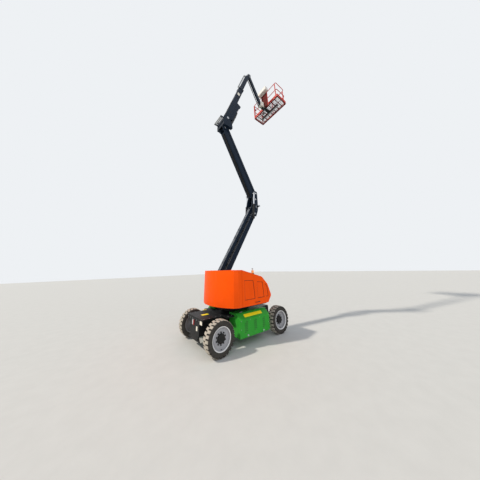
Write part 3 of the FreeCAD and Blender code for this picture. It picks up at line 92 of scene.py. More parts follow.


# One finish: a base colour that clouds a little, a gloss that varies, a fine bump, and dust where it is asked for; on
# the arms that layer is a painted highlight.
# Grain is drawn coarser than the real one, from 1 to 6 mm, so that it shows; its height is in metres.
def finish(name, base, rough, metallic=0.0, cloud=0.12, cloudMm=250.0, roughSpread=0.08, grainMm=2.86,
           grainHeight=0.0004, dust=0.0, dustAndSheenColour="#8A8378", dustAndSheenTop=1.2, dustAndSheenSides=0.45, treadOnly=False,
           shine=0.35, transmission=0.0, emission=0.0):
    made = bpy.data.materials.new(name)
    made.use_nodes = True
    tree = made.node_tree
    shader = tree.nodes["Principled BSDF"]
    place = addNode(tree, "ShaderNodeTexCoord").outputs["Object"]

    # Noise patterns: size in millimetres, detail and how ragged they are
    patterns = {"cloud": (cloudMm, 3.0, 0.55), "gloss": (cloudMm / 6, 4.0, 0.55)}
    if grainHeight:
        patterns["grain"] = (grainMm, 2.0, 0.55)
    if dust:
        patterns["dust"] = (dustAndSheenLayer["patchMm"], dustAndSheenLayer["detail"], dustAndSheenLayer["edge"])
    noise = {}
    for label, (sizeMm, detail, edge) in patterns.items():
        noise[label] = addNode(tree, "ShaderNodeTexNoise", {}, {
            "Vector": place, "Scale": 1000 / sizeMm, "Detail": detail, "Roughness": edge}).outputs["Fac"]

    # What each value is spread to: the value, where it starts and ends, and what it becomes there
    spans = {"cloud": (noise["cloud"], 0.3, 0.7, 0.0, 1.0),
             "gloss": (noise["gloss"], 0.3, 0.7, max(0.02, rough - roughSpread), min(1.0, rough + roughSpread))}
    if dust:
        height = addNode(tree, "ShaderNodeSeparateXYZ", {}, {"Vector": place}).outputs["Z"]
        spans["low"] = (height, 0.0, dustAndSheenTop, 1.0, dustAndSheenLayer["leftAtTop"])
        if treadOnly:
            across = addNode(tree, "ShaderNodeVectorMath", {"operation": "MULTIPLY"}, {0: place, 1: (0, 1, 1)})
            radius = addNode(tree, "ShaderNodeVectorMath", {"operation": "LENGTH"}, {0: across.outputs[0]})
            spans["open"] = (radius.outputs["Value"], dustAndSheenLayer["lugFoot"], dustAndSheenLayer["lugTop"],
                             dustAndSheenLayer["betweenLugs"], 1.0)
            spans["patch"] = (noise["dust"], 0.3, 0.7, 0.6, 1.0)
        else:
            normal = addNode(tree, "ShaderNodeNewGeometry").outputs["Normal"]
            upward = addNode(tree, "ShaderNodeSeparateXYZ", {}, {"Vector": normal}).outputs["Z"]
            spans["open"] = (upward, 0.0, 1.0, dustAndSheenSides, 1.0)
            spans["patch"] = (noise["dust"], 0.35, 0.75, 0.0, 1.0)
    spread = {}
    for label, (value, start, end, first, last) in spans.items():
        spread[label] = addNode(tree, "ShaderNodeMapRange", {"clamp": True}, {
            "Value": value, "From Min": start, "From Max": end, "To Min": first, "To Max": last}).outputs["Result"]

    tone = colour(base)
    dark = tuple(v * (1 - cloud) for v in tone[:3]) + (1.0,)
    light = tuple(min(1.0, v * (1 + cloud)) for v in tone[:3]) + (1.0,)
    shade = addNode(tree, "ShaderNodeMix", {"data_type": "RGBA"}, {0: spread["cloud"], 6: dark, 7: light}).outputs[2]
    roughness = spread["gloss"]
    # Dust over the base colour; on the arms this is the pale painted highlight of their upward faces
    if dust:
        part = spread["low"]
        for factor in (spread["patch"], spread["open"], dust):
            part = addNode(tree, "ShaderNodeMath", {"operation": "MULTIPLY"}, {0: part, 1: factor}).outputs[0]
        shade = addNode(tree, "ShaderNodeMix", {"data_type": "RGBA"},
                        {0: part, 6: shade, 7: colour(dustAndSheenColour)}).outputs[2]
        roughness = addNode(tree, "ShaderNodeMath", {"operation": "MULTIPLY_ADD", "use_clamp": True},
                            {0: part, 1: dustAndSheenLayer["roughens"], 2: roughness}).outputs[0]
    tree.links.new(shade, shader.inputs["Base Color"])
    tree.links.new(roughness, shader.inputs["Roughness"])
    if grainHeight:
        bump = addNode(tree, "ShaderNodeBump", {}, {
            "Height": noise["grain"], "Strength": 0.35, "Distance": grainHeight})
        tree.links.new(bump.outputs["Normal"], shader.inputs["Normal"])
    shader.inputs["Metallic"].default_value = metallic
    shader.inputs["Specular IOR Level"].default_value = shine
    if transmission:
        shader.inputs["Transmission Weight"].default_value = transmission
        shader.inputs["IOR"].default_value = 1.49  # acrylic
    if emission:
        shader.inputs["Emission Color"].default_value = colour(base)
        shader.inputs["Emission Strength"].default_value = emission
    return made


# Sprayed enamel over steel sheet: orange peel about 4 mm across, weathered to a low sheen, dusty low down
paintOrange = finish("orange_enamel_on_steel", "#FF5600", 0.45, cloud=0.05, grainMm=4.17,
                     grainHeight=0.0003, dust=0.12, shine=0.1)
paintGreen = finish("green_enamel_on_steel", "#2C9C2E", 0.42, cloud=0.07, grainMm=4.17,
                    grainHeight=0.0003, dust=0.3, dustAndSheenTop=0.9, shine=0.15)
paintBlack = finish("black_chassis_paint", "#121416", 0.5, cloud=0.2, grainMm=3.85, dust=0.15,
                    grainHeight=0.0005, dustAndSheenTop=0.8, shine=0.2)
# The arms are nearly black blue; a pale grey along their upward faces only is a painted highlight, the glare of sun
# and sky on the paint
paintNavy = finish("dark_blue_enamel_on_box_steel", "#13202F", 0.5, cloud=0.14, grainMm=3.85, grainHeight=0.0004,
                   shine=0.1, dust=1.0, dustAndSheenTop=60.0, dustAndSheenSides=0.0, dustAndSheenColour="#C4C8CC")
# Powder coat on the platform's pipes and boards: even and a little matt. The frame under it and the mount panel are a
# darker copy of the red, painted shade for the shadow they lie in
paintRed = finish("red_powder_coat", "#C4260F", 0.5, cloud=0.08, grainMm=3.13, grainHeight=0.0003, shine=0.1)
redPaintedShade = finish("dark_red_enamel", "#5C100C", 0.6, cloud=0.08, grainMm=3.13, grainHeight=0.0003, shine=0.05)
# Enamel on spun wheel rims and on castings: the lips are bright, a pale copy of the rim's grey that is a painted
# highlight, and the rim's grey is darkened a little as painted shade for its dished disc; the castings coarse and dull
rimGreyWithPaintedShade = finish("grey_wheel_enamel", "#A3A3A6", 0.45, cloud=0.10, dust=0.4, dustAndSheenTop=0.7,
                  grainHeight=0.0003, shine=0.3)
lipPaintedHighlight = finish("pale_wheel_lip_enamel", "#E9E8E6", 0.4, cloud=0.04, dust=0.2, dustAndSheenTop=0.7, grainHeight=0.0003)
paintCream = finish("cream_enamel_on_casting", "#E2DED2", 0.5, cloud=0.06, grainMm=3.33, grainHeight=0.0004)
castBlack = finish("black_cast_iron_paint", "#141516", 0.55, cloud=0.2, grainMm=6.25, dust=0.22, shine=0.2,
                   grainHeight=0.0009, dustAndSheenTop=0.8)
# Tyre rubber: fine grain, pale dry dust on the tops of the lugs, dark flanks and gaps
rubber = finish("tyre_rubber", "#1A1919", 0.85, cloud=0.25, cloudMm=143.0, grainMm=2.38, dust=0.95,
                grainHeight=0.0005, dustAndSheenTop=2.4, dustAndSheenColour="#CFC6B8", treadOnly=True, shine=0.15)
# Hydraulic rods are ground and plated, so they mirror; pins are zinc plated and duller; mesh and rollers are
# hot-dip galvanised, with a spangle of a few centimetres
chrome = finish("hard_chrome_rod", "#D8DADC", 0.14, metallic=1.0, cloud=0.03, roughSpread=0.05, grainHeight=0.0)
pinSteel = finish("zinc_plated_steel", "#A9ABAD", 0.36, metallic=0.9, cloud=0.1, grainMm=2.0, grainHeight=0.0002)
galvanised = finish("galvanised_steel", "#A8ABAC", 0.48, metallic=0.75, cloud=0.18, cloudMm=35.7,
                    grainMm=4.55, grainHeight=0.0003)
# Moulded plastic and rubber hose: even, with a soft sheen and a grain that is only just seen
plasticWhite = finish("off_white_moulded_plastic", "#D9D7D0", 0.45, cloud=0.04, grainMm=1.43, grainHeight=0.0002)
plasticBlack = finish("black_moulded_plastic", "#141415", 0.55, cloud=0.1, grainMm=1.25, grainHeight=0.0002)
knobRed = finish("red_plastic_knob", "#B81414", 0.35, cloud=0.05, grainMm=1.67, grainHeight=0.0001)
hoseBlack = finish("hydraulic_hose_cover", "#121213", 0.62, cloud=0.15, grainMm=1.11, grainHeight=0.0003)
# Printed film on aluminium, left blank: flat and clean
plateYellow = finish("yellow_plate", "#FFE419", 0.5, cloud=0.02, grainMm=2.5, grainHeight=0.0001)
plateCream = finish("cream_plate", "#E6E0CF", 0.45, cloud=0.04, grainMm=2.5, grainHeight=0.0001)
# Moulded acrylic lenses: smooth, and some light passes through
amber = finish("amber_lens", "#F4B070", 0.2, cloud=0.05, grainHeight=0.0, transmission=0.25, emission=0.3)
lensClear = finish("clear_lens", "#DDE2E4", 0.15, cloud=0.03, grainHeight=0.0, transmission=0.4)
lensRed = finish("red_lens", "#A80F0F", 0.2, cloud=0.05, grainHeight=0.0, transmission=0.3)
print("materials ready")


def keepPiece(name, mesh, material, body, smoothAngle=35.0, place=None):
    # An object that rides on a body; edges sharper than the angle stay crisp, and 0 leaves every face flat
    item = bpy.data.objects.new(name, mesh)
    scene.collection.objects.link(item)
    mesh.materials.clear()
    mesh.materials.append(material)
    if smoothAngle:
        mesh.shade_smooth()
        mesh.set_sharp_from_angle(angle=math.radians(smoothAngle))
    if place is not None:
        item.matrix_world = place
    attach(item, body)
    return item


def bevelled(item, width, segments):
    change = item.modifiers.new("edge", "BEVEL")
    change.width = width
    change.segments = segments
    change.limit_method = "ANGLE"
    change.angle_limit = math.radians(30)
    change.use_clamp_overlap = True
    change.harden_normals = True


def softened(node, material, width, rounds=()):
    # The CAD shape with its small edges broken, standing for the node.
    # Rounds are (which edges, radius, steps), from the largest to the smallest.
    mesh = nodes[node].data.copy()
    work = bmesh.new()
    work.from_mesh(mesh)
    bmesh.ops.remove_doubles(work, verts=work.verts, dist=0.00005)
    bmesh.ops.dissolve_limit(work, angle_limit=math.radians(1.5), verts=work.verts, edges=work.edges)
    for test, radius, steps in rounds:
        chosen = [edge for edge in work.edges if len(edge.link_faces) == 2
                  and edge.calc_face_angle() > 0.2 and test(edge.verts[0].co, edge.verts[1].co)]
        bmesh.ops.bevel(work, geom=chosen, offset=radius, segments=steps, profile=0.5, affect="EDGES",
                        clamp_overlap=True)
    work.to_mesh(mesh)
    work.free()
    item = keepPiece(node + "_look", mesh, material, nodeBody[node])
    if width:
        bevelled(item, width, 2)
    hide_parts(node)


def meshOf(work, name):
    bmesh.ops.recalc_face_normals(work, faces=work.faces)
    mesh = bpy.data.meshes.new(name)
    work.to_mesh(mesh)
    work.free()
    return mesh


def piece(name, work, material, body, smoothAngle=35.0, edge=0.0):
    item = keepPiece(name, meshOf(work, name), material, body, smoothAngle)
    if edge:
        bevelled(item, edge, 1)
    return item


def onCircle(count, radius, first=0.0):
    # Even places round a circle, as pairs of distances from its middle
    turns = [first + 2 * math.pi * number / count for number in range(count)]
    return [(radius * math.cos(turn), radius * math.sin(turn)) for turn in turns]


def addBlock(work, corner, opposite, place=None):
    # A box between two opposite corners, moved by a matrix
    spans = [sorted(pair) for pair in zip(corner, opposite)]
    corners = [Vector((x, y, z)) for x in spans[0] for y in spans[1] for z in spans[2]]
    if place is not None:
        corners = [place @ point for point in corners]
    verts = [work.verts.new(point) for point in corners]
    for a, b, c, d in ((0, 1, 3, 2), (4, 6, 7, 5), (0, 4, 5, 1), (2, 3, 7, 6), (0, 2, 6, 4), (1, 5, 7, 3)):
        work.faces.new((verts[a], verts[b], verts[c], verts[d]))


def joinRings(work, first, second):
    # Faces between two rings of as many points; a ring of one point closes to it
    count = max(len(first), len(second))
    if count == 1:
        return
    for step in range(count):
        following = (step + 1) % count
        if len(first) == 1:
            work.faces.new((first[0], second[step], second[following]))
        elif len(second) == 1:
            work.faces.new((first[step], first[following], second[0]))
        else:
            work.faces.new((first[step], first[following], second[following], second[step]))


def addRing(work, centre, across, other, radius, sides, angle=0.0):
    return [work.verts.new(centre + (across * x + other * y) * radius) for x, y in onCircle(sides, 1.0, angle)]


def addRod(work, start, end, radius, sides=20, endRadius=None):
    start, end = Vector(start), Vector(end)
    way = (end - start).normalized()
    across = way.orthogonal().normalized()
    other = way.cross(across)
    first = addRing(work, start, across, other, radius, sides)
    second = addRing(work, end, across, other, endRadius or radius, sides)
    joinRings(work, first, second)
    work.faces.new(first[::-1])
    work.faces.new(second)


def addTurned(work, centre, axis, profile, sides=64, closed=False, angle=0.0):
    # A profile of (along the axis, radius) pairs swept round the axis
    axis, centre = Vector(axis).normalized(), Vector(centre)
    across = axis.orthogonal().normalized()
    other = axis.cross(across)
    rings = []
    for reach, radius in profile:
        if radius:
            rings.append(addRing(work, centre + axis * reach, across, other, radius, sides, angle))
        else:
            rings.append([work.verts.new(centre + axis * reach)])
    for first, second in zip(rings, rings[1:] + (rings[:1] if closed else [])):
        joinRings(work, first, second)


def addBand(work, centre, axis, inner, outer, start, end, sides):
    # A flat ring round an axis
    addTurned(work, centre, axis, [(start, inner), (start, outer), (end, outer), (end, inner)], sides, closed=True)


def addTube(work, points, radius, sides=10):
    # A tube through points, with its ends closed
    points = [Vector(point) for point in points]
    ring = normal = None
    for number, point in enumerate(points):
        way = (points[min(number + 1, len(points) - 1)] - points[max(number - 1, 0)]).normalized()
        if normal is None:
            normal = way.orthogonal().normalized()
        normal = (normal - way * normal.dot(way)).normalized()
        made = addRing(work, point, normal, way.cross(normal), radius, sides)
        if ring:
            joinRings(work, ring, made)
        else:
            work.faces.new(made[::-1])
        ring = made
    work.faces.new(ring)


def smoothPath(corners, step=0.03):
    # A curve through corners with even small steps
    corners = [Vector(corner) for corner in corners]
    made = []
    for number in range(len(corners) - 1):
        before = corners[max(number - 1, 0)]
        start, end = corners[number], corners[number + 1]
        after = corners[min(number + 2, len(corners) - 1)]
        count = max(2, int((end - start).length / step))
        for place in range(count):
            t = place / count
            made.append(0.5 * ((2 * start) + (end - before) * t
                               + (2 * before - 5 * start + 4 * end - after) * t * t
                               + (3 * start - before - 3 * end + after) * t ** 3))
    made.append(corners[-1])
    return made


def addBolt(work, place, way, size=0.012, head=0.6):
    # A hexagon head on a washer that faces along way
    place, way = Vector(place), Vector(way).normalized()
    addRod(work, place - way * size * 0.2, place + way * size * 0.18, size * 1.15, 14)
    addRod(work, place + way * size * 0.1, place + way * size * (0.18 + head), size * 0.88, 6)


def addPlate(work, middle, across, up, width, height, thick):
    # A flat plate with a small round at its corners
    middle, across, up = Vector(middle), Vector(across).normalized(), Vector(up).normalized()
    out = across.cross(up).normalized()
    corner = min(width, height) * 0.12
    ring = []
    for sx, sy, start in ((1, 1, 0), (-1, 1, 90), (-1, -1, 180), (1, -1, 270)):
        for step in range(4):
            turn = math.radians(start + 30 * step)
            ring.append(middle + across * (sx * (width / 2 - corner) + corner * math.cos(turn))
                        + up * (sy * (height / 2 - corner) + corner * math.sin(turn)))
    low = [work.verts.new(point) for point in ring]
    high = [work.verts.new(point + out * thick) for point in ring]
    joinRings(work, low, high)
    work.faces.new(low[::-1])
    work.faces.new(high)


def addPinCap(work, place, side, radius, thick=0.008):
    # The end of a pin: a disc with its edge broken and a grease nipple in the middle
    place = Vector(place)
    out = Vector((0, side, 0))
    addTurned(work, place, out, [(-0.001, 0.0), (-0.001, radius), (thick * 0.7, radius),
                                 (thick, radius * 0.93), (thick, 0.0)], 28)
    addRod(work, place + out * thick, place + out * (thick + 0.003), radius * 0.22, 10)


def addWeld(work, start, end, size=0.006):
    # A wavy bead between two points
    start, end = Vector(start), Vector(end)
    count = max(4, int((end - start).length / 0.012))
    way = (end - start).normalized()
    across = way.orthogonal().normalized()
    ring = None
    for step in range(count + 1):
        reach = size * (1.0 + 0.22 * (step % 2))
        made = addRing(work, start.lerp(end, step / count), across, way.cross(across), reach, 6)
        if ring:
            joinRings(work, ring, made)
        ring = made


def pivot(name):
    return Vector(joints[name]["pos_m"])


def armFrame(start, end):
    # X runs along the arm, Y to the machine's left, Z up from the arm
    run = end - start
    side = Vector((0, 1, 0))
    made = Matrix((run.normalized(), side, run.normalized().cross(side).normalized())).transposed().to_4x4()
    made.translation = start
    return made, run.length


slewX = pivot("slew").x
frontX = joints["steer_left"]["pos_m"][0]
axleX = joints["wheel_rear_left_spin"]["pos_m"][0]

# Large rounds of the hoods and the counterweight, by where their edges lie.
# The outline is seen from the side, as x from the slewing axis and z: rear foot, front foot, toe, nose, brow and
# rear top.
hood = {"outline": [(-0.387, 0.8683), (0.560, 0.8683), (0.702, 1.045), (0.575, 1.350), (0.360, 1.560),
                    (-0.387, 1.762)],
        "flank": 0.859, "footZ": 0.875, "backX": -0.385, "noseRound": 0.12, "toeRound": 0.05, "sideRound": 0.026}
counterweight = {"flank": 0.77, "channel": 0.30, "tailX": -0.86, "cornerX": -0.45, "frontX": -0.40,
                 "topZ": 1.7, "footZ": 0.90, "round": 0.022}


def onHoodLine(point, slack=0.003):
    # Whether a point lies on the hood's outline as seen from the side
    place = Vector((point.x - slewX, point.z))
    outline = [Vector(corner) for corner in hood["outline"]]
    for start, end in zip(outline, outline[1:] + outline[:1]):
        run = end - start
        part = min(1.0, max(0.0, (place - start).dot(run) / run.length_squared))
        if (start + run * part - place).length < slack:
            return True
    return False


def crossEdgeAt(a, b, numbers):
    # Whether an edge runs from side to side at one of the outline's corners
    place = Vector((a.x - slewX, a.z))
    near = any((Vector(hood["outline"][number]) - place).length < 0.004 for number in numbers)
    return near and abs(a.y - b.y) > 0.3


def hoodNose(a, b):
    # The two upper edges across the front
    return crossEdgeAt(a, b, (3, 4))


def hoodToe(a, b):
    return crossEdgeAt(a, b, (2,))


def hoodSide(a, b):
    # The outline's edges on the outer flank, without those of the foot and the back
    middle = (a + b) / 2
    outer = min(abs(a.y), abs(b.y)) > hood["flank"]
    free = middle.z > hood["footZ"] and middle.x > slewX + hood["backX"]
    return outer and free and all(onHoodLine(point) for point in (a, b, middle))


def weightCorner(a, b):
    # Upright, top and bottom edges of the counterweight's outside
    middle = (a + b) / 2
    back = middle.x - slewX
    upright = abs(a.z - b.z) > 0.5 and abs(middle.y) > counterweight["flank"] and back < counterweight["cornerX"]
    outer = abs(middle.y) > counterweight["channel"] or back < counterweight["tailX"]
    level = min(a.z, b.z) > counterweight["topZ"] or max(a.z, b.z) < counterweight["footZ"]
    return upright or (level and outer and back < counterweight["frontX"])


hoodRounds = [(hoodNose, hood["noseRound"], 8), (hoodToe, hood["toeRound"], 4), (hoodSide, hood["sideRound"], 4)]
rounds = {"hood_left": hoodRounds, "hood_right": hoodRounds,
          "counterweight": [(weightCorner, counterweight["round"], 3)]}

# The finish and the edge width of every CAD piece that keeps its own shape
coats = {
    "chassis_frame": (paintBlack, 0.004), "rear_axle": (castBlack, 0.004), "front_axle": (castBlack, 0.004),
    "battery_cover_left": (paintGreen, 0.012), "battery_cover_right": (paintGreen, 0.012),
    "battery_packs": (plasticBlack, 0.0), "slew_ring": (castBlack, 0.003),
    "knuckle_left": (castBlack, 0.004), "knuckle_right": (castBlack, 0.004), "tie_rod": (pinSteel, 0.002),
    "turntable_frame": (paintBlack, 0.004), "counterweight": (paintOrange, 0.004),
    "hood_left": (paintOrange, 0.003), "hood_right": (paintOrange, 0.003),
    "lower_riser_arm": (paintNavy, 0.005), "lower_riser_link": (paintNavy, 0.004),
    "mid_upright": (paintNavy, 0.005), "upper_riser_arm": (paintNavy, 0.005),
    "upper_riser_link": (paintNavy, 0.004), "riser_cylinder_barrels": (paintBlack, 0.003),
    "riser_cylinder_rods": (chrome, 0.002), "riser_head": (paintNavy, 0.005),
    "hose_rollers": (galvanised, 0.001), "boom_outer": (paintNavy, 0.006), "boom_inner": (paintNavy, 0.005),
    "boom_cheeks": (paintNavy, 0.003), "hose_carrier": (galvanised, 0.003),
    "lift_cylinder_barrel": (paintBlack, 0.003), "lift_cylinder_rod": (chrome, 0.002),
    "jib_bracket": (paintNavy, 0.003), "jib_beam": (paintNavy, 0.005), "jib_link": (paintNavy, 0.002),
    "platform_bracket": (paintCream, 0.003), "platform_mount": (paintBlack, 0.004),
    # The floor frame and the mount panel take the darker copy of the red: painted shade
    "platform_floor_frame": (redPaintedShade, 0.003), "platform_rails": (paintRed, 0.0), "gate": (paintRed, 0.0),
    "toe_boards": (paintRed, 0.001), "mount_panel": (redPaintedShade, 0.003), "control_console": (plasticWhite, 0.01),
}
for name, (material, width) in coats.items():
    softened(name, material, width, rounds.get(name, ()))
print("CAD pieces coated")

# Wheels: every part of one is turned about its axle, with X pointing outwards.
# Dish is how far the disc lies behind the tyre's flank.
wheel = {"radius": 0.354, "width": 0.240, "lugHeight": 0.020, "lugPairs": 24, "bead": 0.237, "rimInset": 0.008,
         "dish": {"rear": 0.062, "front": 0.092}, "nuts": 10, "nutCircle": 0.118, "hubBolts": 5,
         "hubBoltCircle": 0.030}
axleZ = wheel["radius"]


def tyreMesh(name):
    # The carcass, by half of its section as (distance from the middle plane, radius), from crown to bead
    crown = wheel["radius"] - wheel["lugHeight"]
    flank = wheel["width"] / 2
    bead = wheel["bead"]
    half = [(0.0, crown), (0.050, crown - 0.001), (0.088, crown - 0.005), (flank - 0.010, crown - 0.020),
            (flank - 0.003, crown - 0.042), (flank - 0.002, crown - 0.062), (flank - 0.0045, crown - 0.064),
            (flank - 0.0045, crown - 0.068), (flank - 0.003, crown - 0.070), (flank - 0.005, bead + 0.015),
            (flank - 0.009, bead + 0.009), (flank - 0.016, bead + 0.002), (flank - 0.024, bead + 0.001)]
    work = bmesh.new()
    addTurned(work, (0, 0, 0), (1, 0, 0), [(-out, radius) for out, radius in reversed(half)] + half[1:], 96,
              closed=True)
    # The lugs, by stations from the middle outwards: distance out, top and foot below the tyre's radius, and
    # half width and forward sweep in pitches
    stations = [(-0.004, 0.0, 0.030, 0.30, 0.00), (0.030, 0.0, 0.030, 0.33, 0.05),
                (0.062, 0.001, 0.030, 0.30, 0.10), (0.100, 0.004, 0.034, 0.31, 0.12),
                (0.1135, 0.016, 0.046, 0.30, 0.12), (0.1185, 0.040, 0.060, 0.24, 0.12)]
    pitch = 2 * math.pi / wheel["lugPairs"]
    top = wheel["radius"]
    flare = 0.05
    lugs = bmesh.new()
    for side, stagger in ((1, 0.0), (-1, 0.5)):
        for number in range(wheel["lugPairs"]):
            rings = []
            for out, high, low, wide, sweep in stations:
                corners = ((low, -wide - flare), (high, -wide), (high, wide), (low, wide + flare))
                rings.append([])
                for drop, reach in corners:
                    turn = (number + stagger + sweep + reach) * pitch
                    rings[-1].append(lugs.verts.new((side * out, (top - drop) * math.cos(turn),
                                                     (top - drop) * math.sin(turn))))
            for first, second in zip(rings, rings[1:]):
                for edge in range(3):
                    lugs.faces.new((first[edge], first[edge + 1], second[edge + 1], second[edge]))
            lugs.faces.new(rings[0])
            lugs.faces.new(rings[-1][::-1])
    bmesh.ops.recalc_face_normals(lugs, faces=lugs.faces)
    sharp = [edge for edge in lugs.edges if len(edge.link_faces) == 2 and edge.calc_face_angle() > 0.6]
    bmesh.ops.bevel(lugs, geom=sharp, offset=0.0022, segments=2, affect="EDGES", clamp_overlap=True)
    spare = bpy.data.meshes.new("lugs")
    lugs.to_mesh(spare)
    lugs.free()
    work.from_mesh(spare)
    bpy.data.meshes.remove(spare)
    return meshOf(work, name)


def rimMesh(name, disc):
    # From the outer lip inwards: sloped barrel, dished disc with a shallow bead, hub hole, back wall, inner lip
    half = wheel["width"] / 2 - wheel["rimInset"]
    work = bmesh.new()
    addTurned(work, (0, 0, 0), (1, 0, 0), [
        (half - 0.008, 0.2368), (half - 0.002, 0.2362), (half, 0.2335), (half - 0.0005, 0.2300),
        (half - 0.004, 0.2235), (half - 0.010, 0.2200), (half - 0.020, 0.2180), (disc + 0.016, 0.2120),
        (disc + 0.006, 0.2060), (disc + 0.001, 0.1960), (disc, 0.1880), (disc + 0.004, 0.1840),
        (disc + 0.007, 0.1780), (disc + 0.007, 0.1400), (disc + 0.003, 0.1340), (disc, 0.1280),
        (disc, 0.0820), (disc - 0.050, 0.0820), (disc - 0.050, 0.0320), (disc - 0.054, 0.0320),
        (disc - 0.054, 0.0820), (disc - 0.018, 0.0860), (disc - 0.018, 0.2130), (-half + 0.010, 0.2180),
        (-half + 0.002, 0.2260), (-half, 0.2335), (-half + 0.002, 0.2362), (-half + 0.008, 0.2368),
    ], 96, closed=True)
    return meshOf(work, name)


def lipMesh(name):
    # The turned lip, 0.6 mm proud of the rim; its pale colour is a painted highlight
    half = wheel["width"] / 2 - wheel["rimInset"]
    work = bmesh.new()
    addTurned(work, (0, 0, 0), (1, 0, 0), [
        (half - 0.004, 0.2362), (half - 0.001, 0.2360), (half + 0.0006, 0.2335), (half, 0.2298),
        (half - 0.0035, 0.2230), (half - 0.0095, 0.2194), (half - 0.0195, 0.2174), (half - 0.0195, 0.2184),
        (half - 0.011, 0.2205), (half - 0.005, 0.2240), (half - 0.002, 0.2300), (half - 0.003, 0.2340),
    ], 96, closed=True)
    return meshOf(work, name)


def hubMesh(name, disc):
    # Ten-sided drive hub with a flat cap and five small bolts
    work = bmesh.new()
    addTurned(work, (0, 0, 0), (1, 0, 0), [
        (disc - 0.004, 0.0), (disc - 0.004, 0.102), (disc + 0.006, 0.102), (disc + 0.012, 0.094),
        (disc + 0.040, 0.090), (disc + 0.046, 0.080), (disc + 0.046, 0.050), (disc + 0.042, 0.046),
        (disc + 0.042, 0.0)], 10, angle=math.pi / 10)
    for y, z in onCircle(wheel["hubBolts"], wheel["hubBoltCircle"]):
        addRod(work, (disc + 0.040, y, z), (disc + 0.046, y, z), 0.006, 6)
    return meshOf(work, name)


def nutMesh(name, disc):
    # Wheel nuts: a washer, a hexagon and the stud's end
    work = bmesh.new()
    for y, z in onCircle(wheel["nuts"], wheel["nutCircle"], math.pi / wheel["nuts"]):
        for start, end, radius, sides in ((-0.001, 0.003, 0.0155, 20), (0.002, 0.018, 0.0125, 6),
                                          (0.017, 0.026, 0.0065, 12)):
            addRod(work, (disc + start, y, z), (disc + end, y, z), radius, sides)
    return meshOf(work, name)


def valveMesh(name, disc):
    work = bmesh.new()
    addRod(work, (disc + 0.004, 0.0, -0.200), (disc + 0.034, 0.0, -0.193), 0.0055, 12)
    addRod(work, (disc + 0.032, 0.0, -0.1935), (disc + 0.046, 0.0, -0.190), 0.0070, 10)
    return meshOf(work, name)


def wheelFrame(middle, side):
    out, up = Vector((0, side, 0)), Vector((0, 0, 1))
    made = Matrix((out, out.cross(up), up)).transposed().to_4x4()
    made.translation = middle
    return made


tyreShape = tyreMesh("tyre_shape")
for end, dish in wheel["dish"].items():
    disc = wheel["width"] / 2 - dish
    shapes = {"rim": rimMesh("rim_shape_" + end, disc), "lip": lipMesh("lip_shape_" + end),
              "hub": hubMesh("hub_shape_" + end, disc), "nuts": nutMesh("stud_shape_" + end, disc),
              "valve": valveMesh("valve_shape_" + end, disc)}
    for side, sign in (("left", 1), ("right", -1)):
        label = end + "_" + side
        place = wheelFrame(pivot("wheel_%s_spin" % label), sign)
        body = nodeBody["tyre_" + label]
        tyre = keepPiece("tyre_%s_look" % label, tyreShape, rubber, body, 30.0, place)
        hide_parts("tyre_" + label)
        # The rim's grey is darkened a little: painted shade for its dished disc
        rim = keepPiece("rim_%s_look" % label, shapes["rim"], rimGreyWithPaintedShade, body, place=place)
        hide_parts("rim_" + label)
        # The lip's pale colour is a painted highlight
        keepPiece("lip_" + label, shapes["lip"], lipPaintedHighlight, body, place=place)
        keepPiece("hub_" + label, shapes["hub"], castBlack, body, 20.0, place)
        keepPiece("nuts_" + label, shapes["nuts"], castBlack, body, place=place)
        keepPiece("valve_" + label, shapes["valve"], plasticBlack, body, place=place)
print("wheels ready")

# The backs of flat plates lie this far off or inside the face that carries them, so that no two faces share a plane
trimStep = 0.0002

# Rear face of the chassis: two blank cream plates, and a white and a red marker; its bolts come with the deck's
rear = {"x": axleX - 0.270, "plateThick": 0.002, "markerZ": 0.548, "markerHeight": 0.110, "markerThick": 0.012,
        "plates": ((-0.370, 0.600, 0.120, 0.075), (-0.155, 0.445, 0.075, 0.095)),  # y, z, width, height
        "markers": (("white", lensClear, 0.085, 0.055), ("red", lensRed, 0.030, 0.050)),  # y, width
        "boltsY": (-0.40, -0.26, -0.12, 0.12, 0.26, 0.40), "boltsZ": 0.620}
rearWays = ((0, -1, 0), (0, 0, 1))
work = bmesh.new()
for y, z, width, height in rear["plates"]:
    addPlate(work, (rear["x"] - trimStep, y, z), *rearWays, width, height, rear["plateThick"])
piece("rear_plates_cream", work, plateCream, "chassis")
for tone, material, y, width in rear["markers"]:
    work = bmesh.new()
    addPlate(work, (rear["x"] - trimStep, y, rear["markerZ"]), *rearWays, width, rear["markerHeight"],
             rear["markerThick"])
    piece("rear_marker_" + tone, work, material, "chassis")

# Deck: two blank yellow plates, bolts at its edges and round the slewing ring, and grip strips at the back.
# X is measured from the rear axle.
deck = {"top": 0.676, "plateThick": 0.0015,
        "plates": ((0.005, -0.020, 0.190, 0.110), (0.250, 0.480, 0.120, 0.060)),  # x, y, length, width
        "bolts": ((0.42, (-0.22, -0.08, 0.10, 0.24)), (0.58, (0.36, 0.46, 1.60, 1.69))),  # y each side, x
        "boltSize": 0.009, "ringBolts": 24, "ringCircle": 0.388, "ringTop": 0.7465, "ringBoltSize": 0.006,
        "strips": 9, "stripFrom": -0.22, "stripPitch": 0.055, "stripWidth": 0.025, "stripY": (0.10, 0.36)}
work = bmesh.new()
for x, y, length, width in deck["plates"]:
    addPlate(work, (axleX + x, y, deck["top"] - trimStep), (1, 0, 0), (0, 1, 0), length, width, deck["plateThick"])
piece("deck_plates_yellow", work, plateYellow, "chassis")
work = bmesh.new()
for y in rear["boltsY"]:
    addBolt(work, (rear["x"], y, rear["boltsZ"]), (-1, 0, 0), deck["boltSize"])
